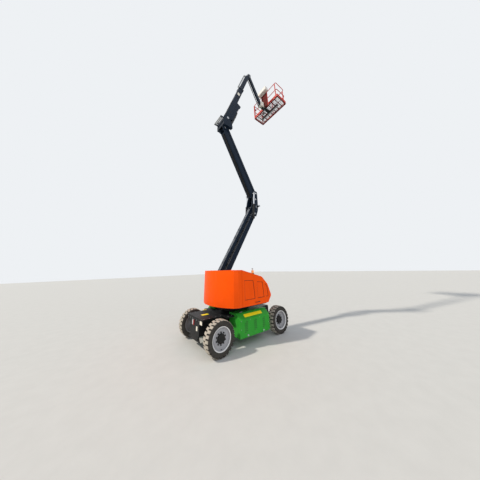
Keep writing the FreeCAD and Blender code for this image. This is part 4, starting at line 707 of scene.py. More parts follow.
for reach, places in deck["bolts"]:
    for x in places:
        for y in (-reach, reach):
            addBolt(work, (axleX + x, y, deck["top"]), (0, 0, 1), deck["boltSize"])
for x, y in onCircle(deck["ringBolts"], deck["ringCircle"]):
    addBolt(work, (slewX + x, y, deck["ringTop"]), (0, 0, 1), deck["ringBoltSize"], 0.0)
piece("chassis_bolts", work, pinSteel, "chassis", 30.0)
work = bmesh.new()
for side in (-1, 1):
    near, far = (side * y for y in deck["stripY"])
    for number in range(deck["strips"]):
        x = axleX + deck["stripFrom"] + number * deck["stripPitch"]
        addBlock(work, (x, near, deck["top"] - 0.001), (x + deck["stripWidth"], far, deck["top"] + 0.002))
piece("deck_grip_strips", work, plasticBlack, "chassis", 0.0)

# A small round lamp on each side of the chassis's front, in a ring on a bracket
sideLamp = {"x": axleX + 1.665, "y": 0.600, "z": 0.610, "radius": 0.030, "length": 0.040, "ringY": 0.612,
            "ring": [(0.0, 0.0305), (0.0, 0.037), (0.022, 0.037), (0.026, 0.033), (0.026, 0.0305)],
            "bracketY": 0.598, "bracket": ((-0.025, -0.014, -0.010), (0.025, 0.014, 0.040))}
work = bmesh.new()
rings = bmesh.new()
for side in (-1, 1):
    x, y, z = sideLamp["x"], side * sideLamp["y"], sideLamp["z"]
    bracket = Vector((x, side * sideLamp["bracketY"], z))
    addRod(work, (x, y, z), (x, y + side * sideLamp["length"], z), sideLamp["radius"], 24)
    addTurned(rings, (x, side * sideLamp["ringY"], z), (0, side, 0), sideLamp["ring"], 28, closed=True)
    addBlock(rings, *(bracket + Vector(corner) for corner in sideLamp["bracket"]))
piece("side_lamps", work, lensClear, "chassis")
piece("side_lamp_rings", rings, plasticBlack, "chassis")

# Drive motors in the rear axle: three cables, a bolted flange and cooling ribs on each side.
# The route is x from the axle, how far the cables fan out there, y and z.
motor = {"route": ((0.105, 0.2, 0.50, 0.40), (0.17, 0.0, 0.47, 0.42), (0.20, 0.0, 0.38, 0.50),
                   (0.19, 0.0, 0.275, 0.56)),
         "cables": (-0.025, 0.0, 0.025), "cableRadius": 0.009, "flangeY": 0.446,
         "flange": [(0.0, 0.0), (0.0, 0.098), (-0.030, 0.092), (-0.030, 0.0)],
         "bolts": 12, "boltCircle": 0.100, "boltY": 0.455, "boltSize": 0.007,
         "ribs": (0.48, 0.505, 0.53, 0.555, 0.58), "ribInner": 0.108, "ribOuter": 0.117, "ribWidth": 0.008}
work = bmesh.new()
flanges = bmesh.new()
for side in (-1, 1):
    for offset in motor["cables"]:
        addTube(work, smoothPath([(axleX + x + offset * fan, side * y, z + offset)
                                  for x, fan, y, z in motor["route"]]), motor["cableRadius"])
    addTurned(flanges, (axleX, side * motor["flangeY"], axleZ), (0, side, 0), motor["flange"], 40)
    for x, z in onCircle(motor["bolts"], motor["boltCircle"]):
        addBolt(flanges, (axleX + x, side * motor["boltY"], axleZ + z), (0, -side, 0), motor["boltSize"])
    for y in motor["ribs"]:
        addBand(flanges, (axleX, side * y, axleZ), (0, side, 0), motor["ribInner"], motor["ribOuter"], 0.0,
                motor["ribWidth"], 40)
piece("motor_cables", work, hoseBlack, "chassis")
piece("motor_flanges", flanges, castBlack, "chassis", 30.0)

# Steering cylinder in front of the front axle beam: barrel, end caps, saddles, rods and hoses.
# The hose route is x from the axle, y and z.
steering = {"x": frontX + 0.085, "barrel": 0.230, "radius": 0.032, "capFrom": 0.222, "capTo": 0.240,
            "capRadius": 0.038, "saddleY": 0.16, "saddle": ((-0.035, -0.016, -0.036), (0.027, 0.016, 0.036)),
            "rodFrom": 0.238, "rodTo": 0.470, "rodRadius": 0.015,
            "hoses": ((0.085, 0.20, 0.386), (0.080, 0.18, 0.43), (0.02, 0.14, 0.47), (-0.06, 0.12, 0.50)),
            "hoseRadius": 0.008}


def addSteeringRod(work, fromY, toY, radius, sides):
    addRod(work, (steering["x"], fromY, axleZ), (steering["x"], toY, axleZ), radius, sides)


work = bmesh.new()
rods = bmesh.new()
hoses = bmesh.new()
addSteeringRod(work, -steering["barrel"], steering["barrel"], steering["radius"], 28)
for side in (-1, 1):
    addSteeringRod(work, side * steering["capFrom"], side * steering["capTo"], steering["capRadius"], 28)
    saddle = Vector((steering["x"], side * steering["saddleY"], axleZ))
    addBlock(work, *(saddle + Vector(corner) for corner in steering["saddle"]))
    addSteeringRod(rods, side * steering["rodFrom"], side * steering["rodTo"], steering["rodRadius"], 20)
    addTube(hoses, smoothPath([(frontX + x, side * y, z) for x, y, z in steering["hoses"]]), steering["hoseRadius"])
piece("steering_cylinder", work, paintBlack, "chassis", 30.0, 0.002)
piece("steering_rods", rods, chrome, "chassis", 30.0)
piece("steering_hoses", hoses, hoseBlack, "chassis")

# Kingpin caps above and below each knuckle, with four bolts each
kingpin = {"y": 0.66, "reach": 0.119, "bolts": 4, "boltCircle": 0.026, "boltRise": 0.009, "boltSize": 0.005,
           "cap": [(-0.001, 0.0), (-0.001, 0.036), (0.008, 0.036), (0.011, 0.030), (0.011, 0.0)]}
for label, side in (("left", 1), ("right", -1)):
    work = bmesh.new()
    for way in (1, -1):
        z = axleZ + way * kingpin["reach"]
        addTurned(work, (frontX, side * kingpin["y"], z), (0, 0, way), kingpin["cap"], 28)
        for x, y in onCircle(kingpin["bolts"], kingpin["boltCircle"], math.pi / 4):
            addBolt(work, (frontX + x, side * kingpin["y"] + y, z + way * kingpin["boltRise"]), (0, 0, way),
                    kingpin["boltSize"])
    piece("kingpin_caps_" + label, work, pinSteel, nodeBody["knuckle_" + label], 30.0)
print("chassis details ready")

# Battery covers, one on each side: louvres, a blank plate on the slant, knobs, bolts, hinges and a turned-up lip.
# X is measured from the slewing axis. A louvre is a slanted hood that stands over a black block, painted shade of the
# slot beneath it.
cover = {"y": 0.862, "groups": (-0.290, 0.018, 0.325), "columns": ((-0.026, 0.0), (0.026, 0.024)),
         "rows": 5, "firstZ": 0.335, "pitch": 0.046, "slot": (-0.014, 0.006),
         "louvre": {"half": 0.021, "flare": 0.004, "top": 0.016, "low": 0.004, "proud": 0.0085, "thick": 0.002},
         "slantFoot": (0.862, 0.590), "slantTop": (0.700, 0.720),
         "plateX": 0.015, "plateSize": (0.620, 0.085), "knobsX": (-0.248, 0.284), "knobZ": 0.257,
         "knob": [(-0.001, 0.0), (-0.001, 0.013), (0.006, 0.013), (0.009, 0.019), (0.020, 0.019), (0.024, 0.015),
                  (0.024, 0.0)],
         "bolts": ((0.575, (-0.452, -0.16, 0.16, 0.505)), (0.24, (-0.452, 0.505)), (0.40, (-0.452, 0.505))),
         "boltSize": 0.007, "hingesX": (-0.30, 0.34), "hingeY": 0.655, "hingeZ": 0.724, "hingeHalf": 0.04,
         "hingeRadius": 0.007, "hingeLeaf": ((-0.035, -0.022, -0.0045), (0.035, 0.022, -0.0015)),
         "lip": ((-0.484, 0.845, 0.2155), (0.538, 0.867, 0.2230))}  # two opposite corners


def addLouvre(work, x, side, z):
    shape = cover["louvre"]
    flush, proud = side * cover["y"], side * (cover["y"] + shape["proud"])
    back = side * (cover["y"] + shape["proud"] - shape["thick"])
    a, b = x - shape["half"], x + shape["half"]
    wideA, wideB = a - shape["flare"], b + shape["flare"]
    top, low = z + shape["top"] + shape["flare"], z + shape["low"]
    verts = [work.verts.new(point) for point in (
        (wideA, flush, top), (wideB, flush, top), (b, proud, low), (a, proud, low), (b, back, low + 0.0005),
        (a, back, low + 0.0005), (wideA, flush, low), (wideB, flush, low))]
    for corners in ((0, 1, 2, 3), (3, 2, 4, 5), (0, 3, 6), (1, 7, 2)):
        work.faces.new([verts[corner] for corner in corners])


slant = (Vector(cover["slantTop"]) - Vector(cover["slantFoot"])).normalized()
for label, side in (("right", -1), ("left", 1)):
    out = (0, side, 0)
    work = bmesh.new()
    # Louvres, and under each a black block that is painted shade of its slot
    slots = bmesh.new()
    for group in cover["groups"]:
        for column, stagger in cover["columns"]:
            for number in range(cover["rows"]):
                x = slewX + group + column
                z = cover["firstZ"] + stagger + number * cover["pitch"]
                addLouvre(work, x, side, z)
                half = cover["louvre"]["half"]
                addBlock(slots, (x - half, side * (cover["y"] - 0.002), z + cover["slot"][0]),
                         (x + half, side * (cover["y"] + 0.0008), z + cover["slot"][1]))
    piece("cover_louvres_" + label, work, paintGreen, "chassis", 0.0)
    piece("cover_slots_" + label, slots, plasticBlack, "chassis", 0.0)
    work = bmesh.new()
    middle = (Vector(cover["slantTop"]) + Vector(cover["slantFoot"])) / 2
    above = Vector((0, side * slant.y, -slant.x)) * 0.0003
    addPlate(work, Vector((slewX + cover["plateX"], side * middle.x, middle.y)) + above, (-side, 0, 0),
             (0, side * slant.x, slant.y), *cover["plateSize"], 0.0015)
    piece("cover_plate_" + label, work, plateYellow, "chassis")
    work = bmesh.new()
    for x in cover["knobsX"]:
        addTurned(work, (slewX + x, side * cover["y"], cover["knobZ"]), out, cover["knob"], 24)
    piece("cover_knobs_" + label, work, lensClear, "chassis", 30.0)
    work = bmesh.new()
    for z, places in cover["bolts"]:
        for x in places:
            addBolt(work, (slewX + x, side * cover["y"], z), out, cover["boltSize"])
    for x in cover["hingesX"]:
        middle = Vector((slewX + x, side * cover["hingeY"], cover["hingeZ"]))
        half = Vector((cover["hingeHalf"], 0, 0))
        addRod(work, middle - half, middle + half, cover["hingeRadius"], 12)
        addBlock(work, *(middle + Vector(corner) for corner in cover["hingeLeaf"]))
    piece("cover_fasteners_" + label, work, pinSteel, "chassis", 30.0)
    work = bmesh.new()
    addBlock(work, *((slewX + x, side * y, z) for x, y, z in cover["lip"]))
    piece("cover_lip_" + label, work, paintGreen, "chassis", 0.0, 0.002)
print("cover details ready")

# Hoods: paddle latches, a grab handle, a black bead round each shallow panel as painted shade along its edges, the
# seal behind, and black blocks in the nose as painted shade of the air slots.
# X is measured from the slewing axis.
hoodTrim = {"y": 0.860, "latchesX": (-0.20, 0.42), "latchZ": 0.945,
            "latch": ((-0.0003, 0.090, 0.045), (0.0035, 0.056, 0.026)),  # reach, width, height of frame and lever
            "handleX": (0.06, 0.20), "handleZ": 0.935, "handleReach": 0.030, "handleRadius": 0.0065,
            "panels": ((-0.305, 0.015, 1.015, 1.500, 1.480), (0.150, 0.370, 1.020, 1.440, 1.420),
                       (0.470, 0.550, 1.025, 1.370, 1.300)),  # back, front, low, top at the back, top in front
            "panelY": 0.8515, "beadInset": 0.005, "beadRadius": 0.0045,
            "seal": ((-0.3925, 0.30, 0.876), (-0.3875, 0.852, 1.752)),  # two opposite corners
            "slots": 6, "slotZ": 1.10, "slotPitch": 0.032, "slotHeight": 0.010, "slotY": (0.42, 0.72),
            "slotDepth": (-0.006, 0.0015)}
for label, side in (("right", -1), ("left", 1)):
    body = nodeBody["hood_" + label]
    flank = side * hoodTrim["y"]
    work = bmesh.new()
    for x in hoodTrim["latchesX"]:
        for reach, width, height in hoodTrim["latch"]:
            addPlate(work, (slewX + x, flank + side * reach, hoodTrim["latchZ"]), (-side, 0, 0), (0, 0, 1), width,
                     height, 0.004)
    piece("hood_latches_" + label, work, paintOrange, body, 30.0)
    work = bmesh.new()
    gripY, z = side * (hoodTrim["y"] + hoodTrim["handleReach"]), hoodTrim["handleZ"]
    ends = [slewX + x for x in hoodTrim["handleX"]]
    for x in ends:
        addRod(work, (x, flank, z), (x, gripY, z), 0.006, 12)
    addTube(work, [(ends[0] - 0.006, gripY, z), (ends[1] + 0.006, gripY, z)], hoodTrim["handleRadius"], 12)
    piece("hood_handle_" + label, work, plasticBlack, body, 30.0)
    # Black beads round the shallow panels: painted shade where the panel edges throw shadow
    work = bmesh.new()
    for back, front, low, high, highFront in hoodTrim["panels"]:
        corners = [(back, low), (front + (highFront - low) / 10, low), (front, highFront), (back, high)]
        middle = [sum(corner[axis] for corner in corners) / 4 for axis in (0, 1)]
        inner = []
        for x, z in corners:
            inset = [hoodTrim["beadInset"] * (1 if value < centre else -1) for value, centre in zip((x, z), middle)]
            inner.append((slewX + x + inset[0], side * hoodTrim["panelY"], z + inset[1]))
        for start, end in zip(inner, inner[1:] + inner[:1]):
            addRod(work, start, end, hoodTrim["beadRadius"], 8)
    piece("hood_beads_" + label, work, plasticBlack, body, 40.0)
    work = bmesh.new()
    addBlock(work, *((slewX + x, side * y, z) for x, y, z in hoodTrim["seal"]))
    piece("hood_seal_" + label, work, plasticBlack, "turntable", 0.0)
    # Black blocks in the nose: painted shade of the air slots
    work = bmesh.new()
    (toeX, toeZ), (noseX, noseZ) = hood["outline"][2:4]
    for number in range(hoodTrim["slots"]):
        z = hoodTrim["slotZ"] + number * hoodTrim["slotPitch"]
        x = slewX + noseX + (noseZ - z) * (toeX - noseX) / (noseZ - toeZ)
        (near, far), (back, front) = hoodTrim["slotY"], hoodTrim["slotDepth"]
        addBlock(work, (x + back, side * near, z), (x + front, side * far, z + hoodTrim["slotHeight"]))
    piece("hood_slots_" + label, work, plasticBlack, body, 0.0)

# Counterweight: two lifting sockets on top and four plugs in the tail, which is an arc about a point ahead of
# the slewing axis
plugs = {"socket": (-0.52, 0.60, 1.7615), "plugY": 0.52, "plugZ": (1.02, 1.58), "arcRadius": 1.336,
         "arcX": 0.450,
         "socketProfile": [(0.0, 0.0), (0.0, 0.034), (0.003, 0.034), (0.004, 0.030), (0.004, 0.018),
                           (0.001, 0.016), (0.001, 0.0)],
         "plugProfile": [(-0.001, 0.0), (-0.001, 0.022), (0.002, 0.022), (0.0035, 0.018), (0.0035, 0.0)]}
work = bmesh.new()
for side in (-1, 1):
    x, y, z = plugs["socket"]
    addTurned(work, (slewX + x, side * y, z), (0, 0, 1), plugs["socketProfile"], 28)
    for z in plugs["plugZ"]:
        back = math.sqrt(plugs["arcRadius"] ** 2 - plugs["plugY"] ** 2)
        out = Vector((-back, side * plugs["plugY"], 0)).normalized()
        place = Vector((slewX + plugs["arcX"], 0, z)) + out * (plugs["arcRadius"] - 0.0005)
        addTurned(work, place, out, plugs["plugProfile"], 28)
piece("counterweight_plugs", work, paintOrange, "turntable", 30.0)

# Inside the turntable: valve block with its coils, ground control box, hoses to the risers, slewing motor, riser
# pins and weld beads. X is measured from the slewing axis and z from the table's top.
table = {"top": 0.868, "valveX": (0.36, 0.52), "valveY": (-0.262, -0.05), "valveHigh": 0.11, "coils": 5,
         "coilX": 0.44, "coilY": -0.24, "coilPitch": 0.040, "boxX": (0.33, 0.50), "boxY": (0.17, 0.27),
         "boxHigh": 0.20, "buttonsY": (0.20, 0.24), "buttonsZ": (0.05, 0.09, 0.13), "stop": (0.22, 0.168),
         "hoses": 6, "hoseY": -0.235, "hosePitch": 0.034, "hoseRadius": 0.0095,
         "route": ((0.37, 1.0, 0.07), (0.20, 0.8, 0.035), (-0.02, 0.55, 0.025), (-0.36, 0.45, 0.04),
                   (-0.52, 0.42, 0.14)),  # x, how far the hoses still lie apart, z
         "motor": (0.12, 0.225), "motorBody": ((-0.0005, 0.16, 0.050), (0.159, 0.25, 0.040)),  # from, to, radius
         "pins": ((-0.658, 1.200), (-0.704, 1.470)), "pinY": 0.167,  # x, z above the ground
         "feetX": (-0.66, -0.48, -0.30, -0.12, 0.06), "feetY": 0.20, "weldsY": (0.1395, 0.1685),
         "weldX": (-0.755, 0.28)}


def onTable(x, y, z):
    return Vector((slewX + x, y, table["top"] + z))


work = bmesh.new()
addBlock(work, onTable(table["valveX"][0], table["valveY"][0], 0.001),
         onTable(table["valveX"][1], table["valveY"][1], table["valveHigh"]))
piece("valve_block", work, pinSteel, "turntable", 0.0, 0.004)
work = bmesh.new()
for number in range(table["coils"]):
    x, y = table["coilX"], table["coilY"] + number * table["coilPitch"]
    addRod(work, onTable(x, y, 0.11), onTable(x, y, 0.15), 0.014, 16)
    addRod(work, onTable(x, y, 0.15), onTable(x, y, 0.18), 0.010, 16)
piece("valve_coils", work, plasticBlack, "turntable", 30.0)
work = bmesh.new()
face = table["boxX"][1]
addBlock(work, onTable(table["boxX"][0], table["boxY"][0], 0.001),
         onTable(face, table["boxY"][1], table["boxHigh"]))
piece("ground_box", work, plasticWhite, "turntable", 0.0, 0.008)
work = bmesh.new()
for y in table["buttonsY"]:
    for z in table["buttonsZ"]:
        addRod(work, onTable(face, y, z), onTable(face + 0.012, y, z), 0.007, 14)
piece("ground_buttons", work, plasticBlack, "turntable", 30.0)
work = bmesh.new()
addRod(work, onTable(face, *table["stop"]), onTable(face + 0.015, *table["stop"]), 0.010, 16)
addRod(work, onTable(face + 0.014, *table["stop"]), onTable(face + 0.028, *table["stop"]), 0.019, 24)
piece("ground_stop_knob", work, knobRed, "turntable", 30.0)
work = bmesh.new()
for number in range(table["hoses"]):
    y = table["hoseY"] + number * table["hosePitch"]
    addTube(work, smoothPath([onTable(x, y * apart, z) for x, apart, z in table["route"]]), table["hoseRadius"])
piece("table_hoses", work, hoseBlack, "turntable")
work = bmesh.new()
x, y = table["motor"]
for foot, top, radius in table["motorBody"]:
    addRod(work, onTable(x, y, foot), onTable(x, y, top), radius, 32)
addBlock(work, onTable(x - 0.065, y - 0.053, 0.0), onTable(x + 0.065, y + 0.053, 0.018))
piece("slew_motor", work, castBlack, "turntable", 30.0, 0.002)
work = bmesh.new()
for side in (-1, 1):
    for x, z in table["pins"]:
        addPinCap(work, (slewX + x, side * table["pinY"], z), side, 0.040, 0.010)
        addBolt(work, (slewX + x, side * table["pinY"], z + 0.050), (0, side, 0), 0.008)
    for x in table["feetX"]:
        addBolt(work, onTable(x, side * table["feetY"], 0.0), (0, 0, 1), 0.010)
piece("table_pins", work, pinSteel, "turntable", 30.0)
work = bmesh.new()
for side in (-1, 1):
    for y in table["weldsY"]:
        start, end = (onTable(x, side * y, 0.001) for x in table["weldX"])
        addWeld(work, start, end, 0.005)
piece("table_welds", work, paintBlack, "turntable", 40.0)

# Beacon: stalk and base, ribbed amber lens and a white cap on a neck, as (height from the node's top, radius)
beacon = {"foot": 0.036, "stalk": 0.0145, "ribs": 11, "ribFrom": -0.094, "ribPitch": 0.0082,
          "ribRadii": (0.0405, 0.0425),
          "base": [(-0.118, 0.0145), (-0.117, 0.044), (-0.097, 0.0465), (-0.092, 0.043), (-0.092, 0.0)],
          "dome": [(-0.003, 0.038), (0.0, 0.030), (0.0, 0.0)],
          "cap": [(-0.001, 0.0), (-0.001, 0.008), (0.026, 0.008), (0.028, 0.027), (0.056, 0.025), (0.064, 0.012),
                  (0.066, 0.0)]}
low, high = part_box("beacon")
top = Vector(((low.x + high.x) / 2, (low.y + high.y) / 2, high.z))
foot = low.z - high.z
work = bmesh.new()
addTurned(work, top, (0, 0, 1), [(foot, 0.0), (foot, beacon["foot"]), (foot + 0.008, beacon["foot"]),
                                 (foot + 0.010, beacon["stalk"])] + beacon["base"], 32)
stalk = piece("beacon_look", work, plasticBlack, "turntable", 30.0)
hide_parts("beacon")
work = bmesh.new()
ribs = [(beacon["ribFrom"], 0.0)]
for step in range(beacon["ribs"]):
    height = beacon["ribFrom"] + step * beacon["ribPitch"]
    hollow, crest = beacon["ribRadii"]
    ribs += [(height, hollow), (height + beacon["ribPitch"] / 2, crest)]
addTurned(work, top, (0, 0, 1), ribs + beacon["dome"], 40)
piece("beacon_lens", work, amber, "turntable", 40.0)
work = bmesh.new()
addTurned(work, top, (0, 0, 1), beacon["cap"], 24)
piece("beacon_tip", work, plasticWhite, "turntable", 40.0)
print("turntable details ready")

# Arms: a frame along each one from the joints at its ends, so that X is measured from its lower pivot
lower, lowerLength = armFrame(pivot("riser_lift"), pivot("upright_turn"))
upper, upperLength = armFrame(pivot("upper_riser_turn"), pivot("head_level"))
boom = armFrame(pivot("boom_luff"), pivot("tip_level"))[0]
jib, jibLength = armFrame(pivot("jib_luff"), pivot("platform_level"))


def turnedBy(arm, way):
    return arm.to_3x3() @ Vector(way)


def armWelds(label, arm, length, width, depth, end, body, bead=0.004, flanks=True):
    # Weld beads where the ears meet the box, near both ends of the arm
    work = bmesh.new()
    for x in (end, length - end):
        for side in (-1, 1) if flanks else ():
            addWeld(work, *(arm @ Vector((x, side * width / 2, z)) for z in (-depth / 2, depth / 2)), bead)
        for edge in (-1, 1):
            addWeld(work, *(arm @ Vector((x, y, edge * depth / 2)) for y in (-width / 2, width / 2)), bead)
    piece(label + "_welds", work, paintNavy, body, 40.0)


hoseLay = {"steps": 24, "wave": 0.0015, "clampFromEnd": 0.06, "clampHalf": 0.015, "clampEdge": 0.006,
           "clampOver": 0.004, "boltFromEdge": 0.004, "boltSize": 0.005}


def hoseRun(label, arm, lanes, start, end, height, body, radius=0.008, clampEvery=0.45):
    # Hoses side by side along an arm, a little wavy, held down by bolted clamps
    work = bmesh.new()
    clamps = bmesh.new()
    for y in lanes:
        points = []
        for step in range(hoseLay["steps"] + 1):
            wave = hoseLay["wave"] * math.sin(step * 1.7 + y * 40)
            points.append(arm @ Vector((start + (end - start) * step / hoseLay["steps"], y, height + radius + wave)))
        addTube(work, points, radius)
    low, high = min(lanes) - radius - hoseLay["clampEdge"], max(lanes) + radius + hoseLay["clampEdge"]
    top = height + 2 * radius + hoseLay["clampOver"]
    count = int((end - start) / clampEvery)
    margin, half = hoseLay["clampFromEnd"], hoseLay["clampHalf"]
    for number in range(count + 1):
        x = start + margin + (end - start - 2 * margin) * number / max(count, 1)
        addBlock(clamps, (x - half, low, height - 0.001), (x + half, high, top), arm)
        for y in (low + hoseLay["boltFromEdge"], high - hoseLay["boltFromEdge"]):
            addBolt(clamps, arm @ Vector((x, y, top)), turnedBy(arm, (0, 0, 1)), hoseLay["boltSize"])
    piece(label + "_hoses", work, hoseBlack, body)
    piece(label + "_clamps", clamps, castBlack, body, 30.0)


armWelds("lower_arm", lower, lowerLength, 0.260, 0.170, 0.150, "lower_riser")
armWelds("upper_arm", upper, upperLength, 0.260, 0.170, 0.150, "upper_riser")
armWelds("jib", jib, jibLength, 0.120, 0.140, 0.240, "jib", 0.003, False)
hoseRun("lower_arm", lower, (-0.112, -0.090, 0.090, 0.112), 0.28, 2.62, 0.085, "lower_riser")
hoseRun("upper_arm", upper, (-0.044, -0.022, 0.0, 0.022, 0.044), 0.20, 3.00, 0.085, "upper_riser")
hoseRun("boom", boom, (-0.070, -0.045, -0.020, 0.005), 0.25, 1.50, 0.125, "boom")
hoseRun("jib", jib, (-0.030, -0.010, 0.010, 0.030), 0.20, 1.56, 0.070, "jib", 0.006, 0.35)
work = bmesh.new()
addBlock(work, (1.490, -0.085, 0.1245), (1.545, 0.020, 0.1425), boom)
piece("boom_hose_grommet", work, plasticBlack, "boom", 0.0, 0.003)

# Pin ends on both sides of each bracket: places as (x, z) from a pivot, reach to the side, radius and thickness
pinEnds = (
    ("knee_pins", "mid_upright", "upright_turn", ((0, 0), (-0.046, 0.270), (0.080, 0.620), (0.126, 0.890)), 0.165,
     0.038, 0.005),
    ("head_pins", "riser_head", "head_level", ((0, 0), (0.046, 0.270)), 0.164, 0.040, 0.008),
    ("boom_pins", "riser_head", "boom_luff", ((0, 0),), 0.260, 0.052, 0.010),
    ("tip_pins", "jib_bracket", "tip_level", ((0, 0), (0.110, 0.060), (0.060, -0.125)), 0.109, 0.028, 0.006),
    ("jib_end_pins", "platform_bracket", "platform_level", ((0, 0), (-0.050, -0.185)), 0.102, 0.028, 0.006),
)
for label, node, joint, places, reach, radius, thick in pinEnds:
    work = bmesh.new()
    for x, z in places:
        for side in (-1, 1):
            place = pivot(joint) + Vector((x, side * reach, z))
            addPinCap(work, place, side, radius, thick)
            addBolt(work, place - Vector((0, 0, radius + 0.010)), (0, side, 0), thick * 0.5)
    piece(label, work, pinSteel, nodeBody[node], 30.0)

# The peg through the upright that carries the riser cylinders: a cap at each end and a collar at each cheek
peg = {"x": 0.125, "z": 0.295, "capY": 0.3145, "collarY": 0.166,
       "cap": [(0.0, 0.0), (0.0, 0.044), (0.004, 0.044), (0.005, 0.040), (0.005, 0.0)],
       "collar": [(0.0, 0.036), (0.0, 0.050), (0.006, 0.048), (0.012, 0.036)]}
work = bmesh.new()
for side in (-1, 1):
    for part in ("cap", "collar"):
        place = pivot("upright_turn") + Vector((peg["x"], side * peg[part + "Y"], peg["z"]))
        addTurned(work, place, (0, side, 0), peg[part], 32)
piece("knee_peg_caps", work, pinSteel, nodeBody["mid_upright"], 30.0)

# Boom: wear pads with two screws each round the collar, round access holes with plugs, and a blank plate
collar = {"padX": (2.880, 2.965), "screwsX": (2.900, 2.945), "flank": 0.124, "flankPadsZ": 0.075, "flankHalf": 0.030,
          "top": 0.139, "topPadsY": 0.060, "topHalf": 0.032, "padHalf": 0.003, "screwSize": 0.008}
work = bmesh.new()
screws = bmesh.new()
backX, noseX = collar["padX"]
for side in (-1, 1):
    y = side * collar["flank"]
    for z in (-collar["flankPadsZ"], collar["flankPadsZ"]):
        addBlock(work, (backX, y - collar["padHalf"], z - collar["flankHalf"]),
                 (noseX, y + collar["padHalf"], z + collar["flankHalf"]), boom)
        for x in collar["screwsX"]:
            addBolt(screws, boom @ Vector((x, y + side * collar["padHalf"], z)), (0, side, 0), collar["screwSize"])
for edge in (-1, 1):
    z = edge * collar["top"]
    for y in (-collar["topPadsY"], collar["topPadsY"]):
        addBlock(work, (backX, y - collar["topHalf"], z - collar["padHalf"]),
                 (noseX, y + collar["topHalf"], z + collar["padHalf"]), boom)
        for x in collar["screwsX"]:
            addBolt(screws, boom @ Vector((x, y, z + edge * collar["padHalf"])), turnedBy(boom, (0, 0, edge)),
                    collar["screwSize"])
piece("collar_pads", work, plasticBlack, "boom", 0.0)
piece("collar_screws", screws, pinSteel, "boom", 30.0)

access = {"x": (0.70, 1.35, 2.00), "flank": 0.110, "ringInner": 0.030, "ringOuter": 0.044, "ringThick": 0.004,
          "plug": [(0.0, 0.0), (0.0, 0.031), (0.0015, 0.031), (0.0015, 0.0)],
          "plate": (2.350, 0.1103, 0.010), "plateSize": (0.130, 0.190)}
work = bmesh.new()
plugWork = bmesh.new()
plates = bmesh.new()
for side in (-1, 1):
    for x in access["x"]:
        addBand(work, boom @ Vector((x, side * access["flank"], 0.0)), (0, side, 0), access["ringInner"],
                access["ringOuter"], 0.0, access["ringThick"], 32)
        addTurned(plugWork, boom @ Vector((x, side * (access["flank"] - 0.0005), 0.0)), (0, side, 0), access["plug"],
                  32)
    x, y, z = access["plate"]
    addPlate(plates, boom @ Vector((x, side * y, z)), turnedBy(boom, (0, 0, -side)), turnedBy(boom, (1, 0, 0)),
             *access["plateSize"], 0.0015)
piece("boom_access_rings", work, paintNavy, "boom", 30.0)
piece("boom_access_plugs", plugWork, plasticBlack, "boom", 30.0)
piece("boom_plates", plates, plateCream, "boom")

# Hose carrier on the telescoping boom: a rib at each link and three cables that lie in it
carrier = {"firstX": 3.055, "pitch": 0.0415, "ribs": 34, "ribLength": 0.005, "half": 0.037, "foot": 0.147,
           "top": 0.1795, "cablesY": (-0.022, 0.0, 0.022), "cableRadius": 0.008,
           "route": ((3.06, 0.186), (3.5, 0.1865), (4.0, 0.186), (4.42, 0.1865))}
work = bmesh.new()
for number in range(carrier["ribs"]):
    x = carrier["firstX"] + number * carrier["pitch"]
    addBlock(work, (x, -carrier["half"], carrier["foot"]), (x + carrier["ribLength"], carrier["half"], carrier["top"]),
             boom)
piece("carrier_ribs", work, galvanised, "boom_extension", 0.0)
work = bmesh.new()
for y in carrier["cablesY"]:
    addTube(work, [boom @ Vector((x, y, z)) for x, z in carrier["route"]], carrier["cableRadius"])
piece("carrier_cables", work, hoseBlack, "boom_extension")

# Cylinders: a gland ring round each rod's way out, and the lift cylinder's ports and pipe on the side away from
# the boom. Reach is measured along the cylinder from its lower eye.
cylinders = {"glands": (("lift_gland", "lift", 0.0, 1.330, 0.0513, "lift_cylinder_barrel"),
                        ("riser_gland_left", "riser", 0.215, 0.575, 0.040, "riser_cylinder_barrels"),
                        ("riser_gland_right", "riser", -0.215, 0.575, 0.040, "riser_cylinder_barrels")),
             "ports": (0.17, 1.20), "portFoot": 0.050, "portTop": 0.070, "portRadius": 0.012,
             "pipe": (0.17, 0.60, 1.20), "pipeOff": 0.064, "pipeRadius": 0.005}
for label, kind, y, reach, radius, node in cylinders["glands"]:
    way = Vector(joints[kind + "_rod_slide"]["axis"])
    start = pivot(kind + "_cylinder_swing") + Vector((0, y, 0))
    work = bmesh.new()
    addTurned(work, start + way * reach, way, [
        (-0.060, radius), (-0.058, radius * 1.12), (-0.006, radius * 1.12), (0.0, radius * 1.04),
        (0.0015, radius * 0.60), (-0.004, radius * 0.58), (-0.004, radius * 0.60)], 36)
    piece(label, work, paintBlack, nodeBody[node], 30.0)
liftWay = Vector(joints["lift_rod_slide"]["axis"])
liftOut = Vector((liftWay.z, 0, -liftWay.x))


def onLift(reach, off):
    return pivot("lift_cylinder_swing") + liftWay * reach + liftOut * off


work = bmesh.new()
for reach in cylinders["ports"]:
    addRod(work, onLift(reach, cylinders["portFoot"]), onLift(reach, cylinders["portTop"]), cylinders["portRadius"], 6)
piece("lift_ports", work, pinSteel, nodeBody["lift_cylinder_barrel"], 20.0)
work = bmesh.new()
addTube(work, [onLift(reach, cylinders["pipeOff"]) for reach in cylinders["pipe"]], cylinders["pipeRadius"])
piece("lift_pipe", work, pinSteel, nodeBody["lift_cylinder_barrel"])
print("arm details ready")

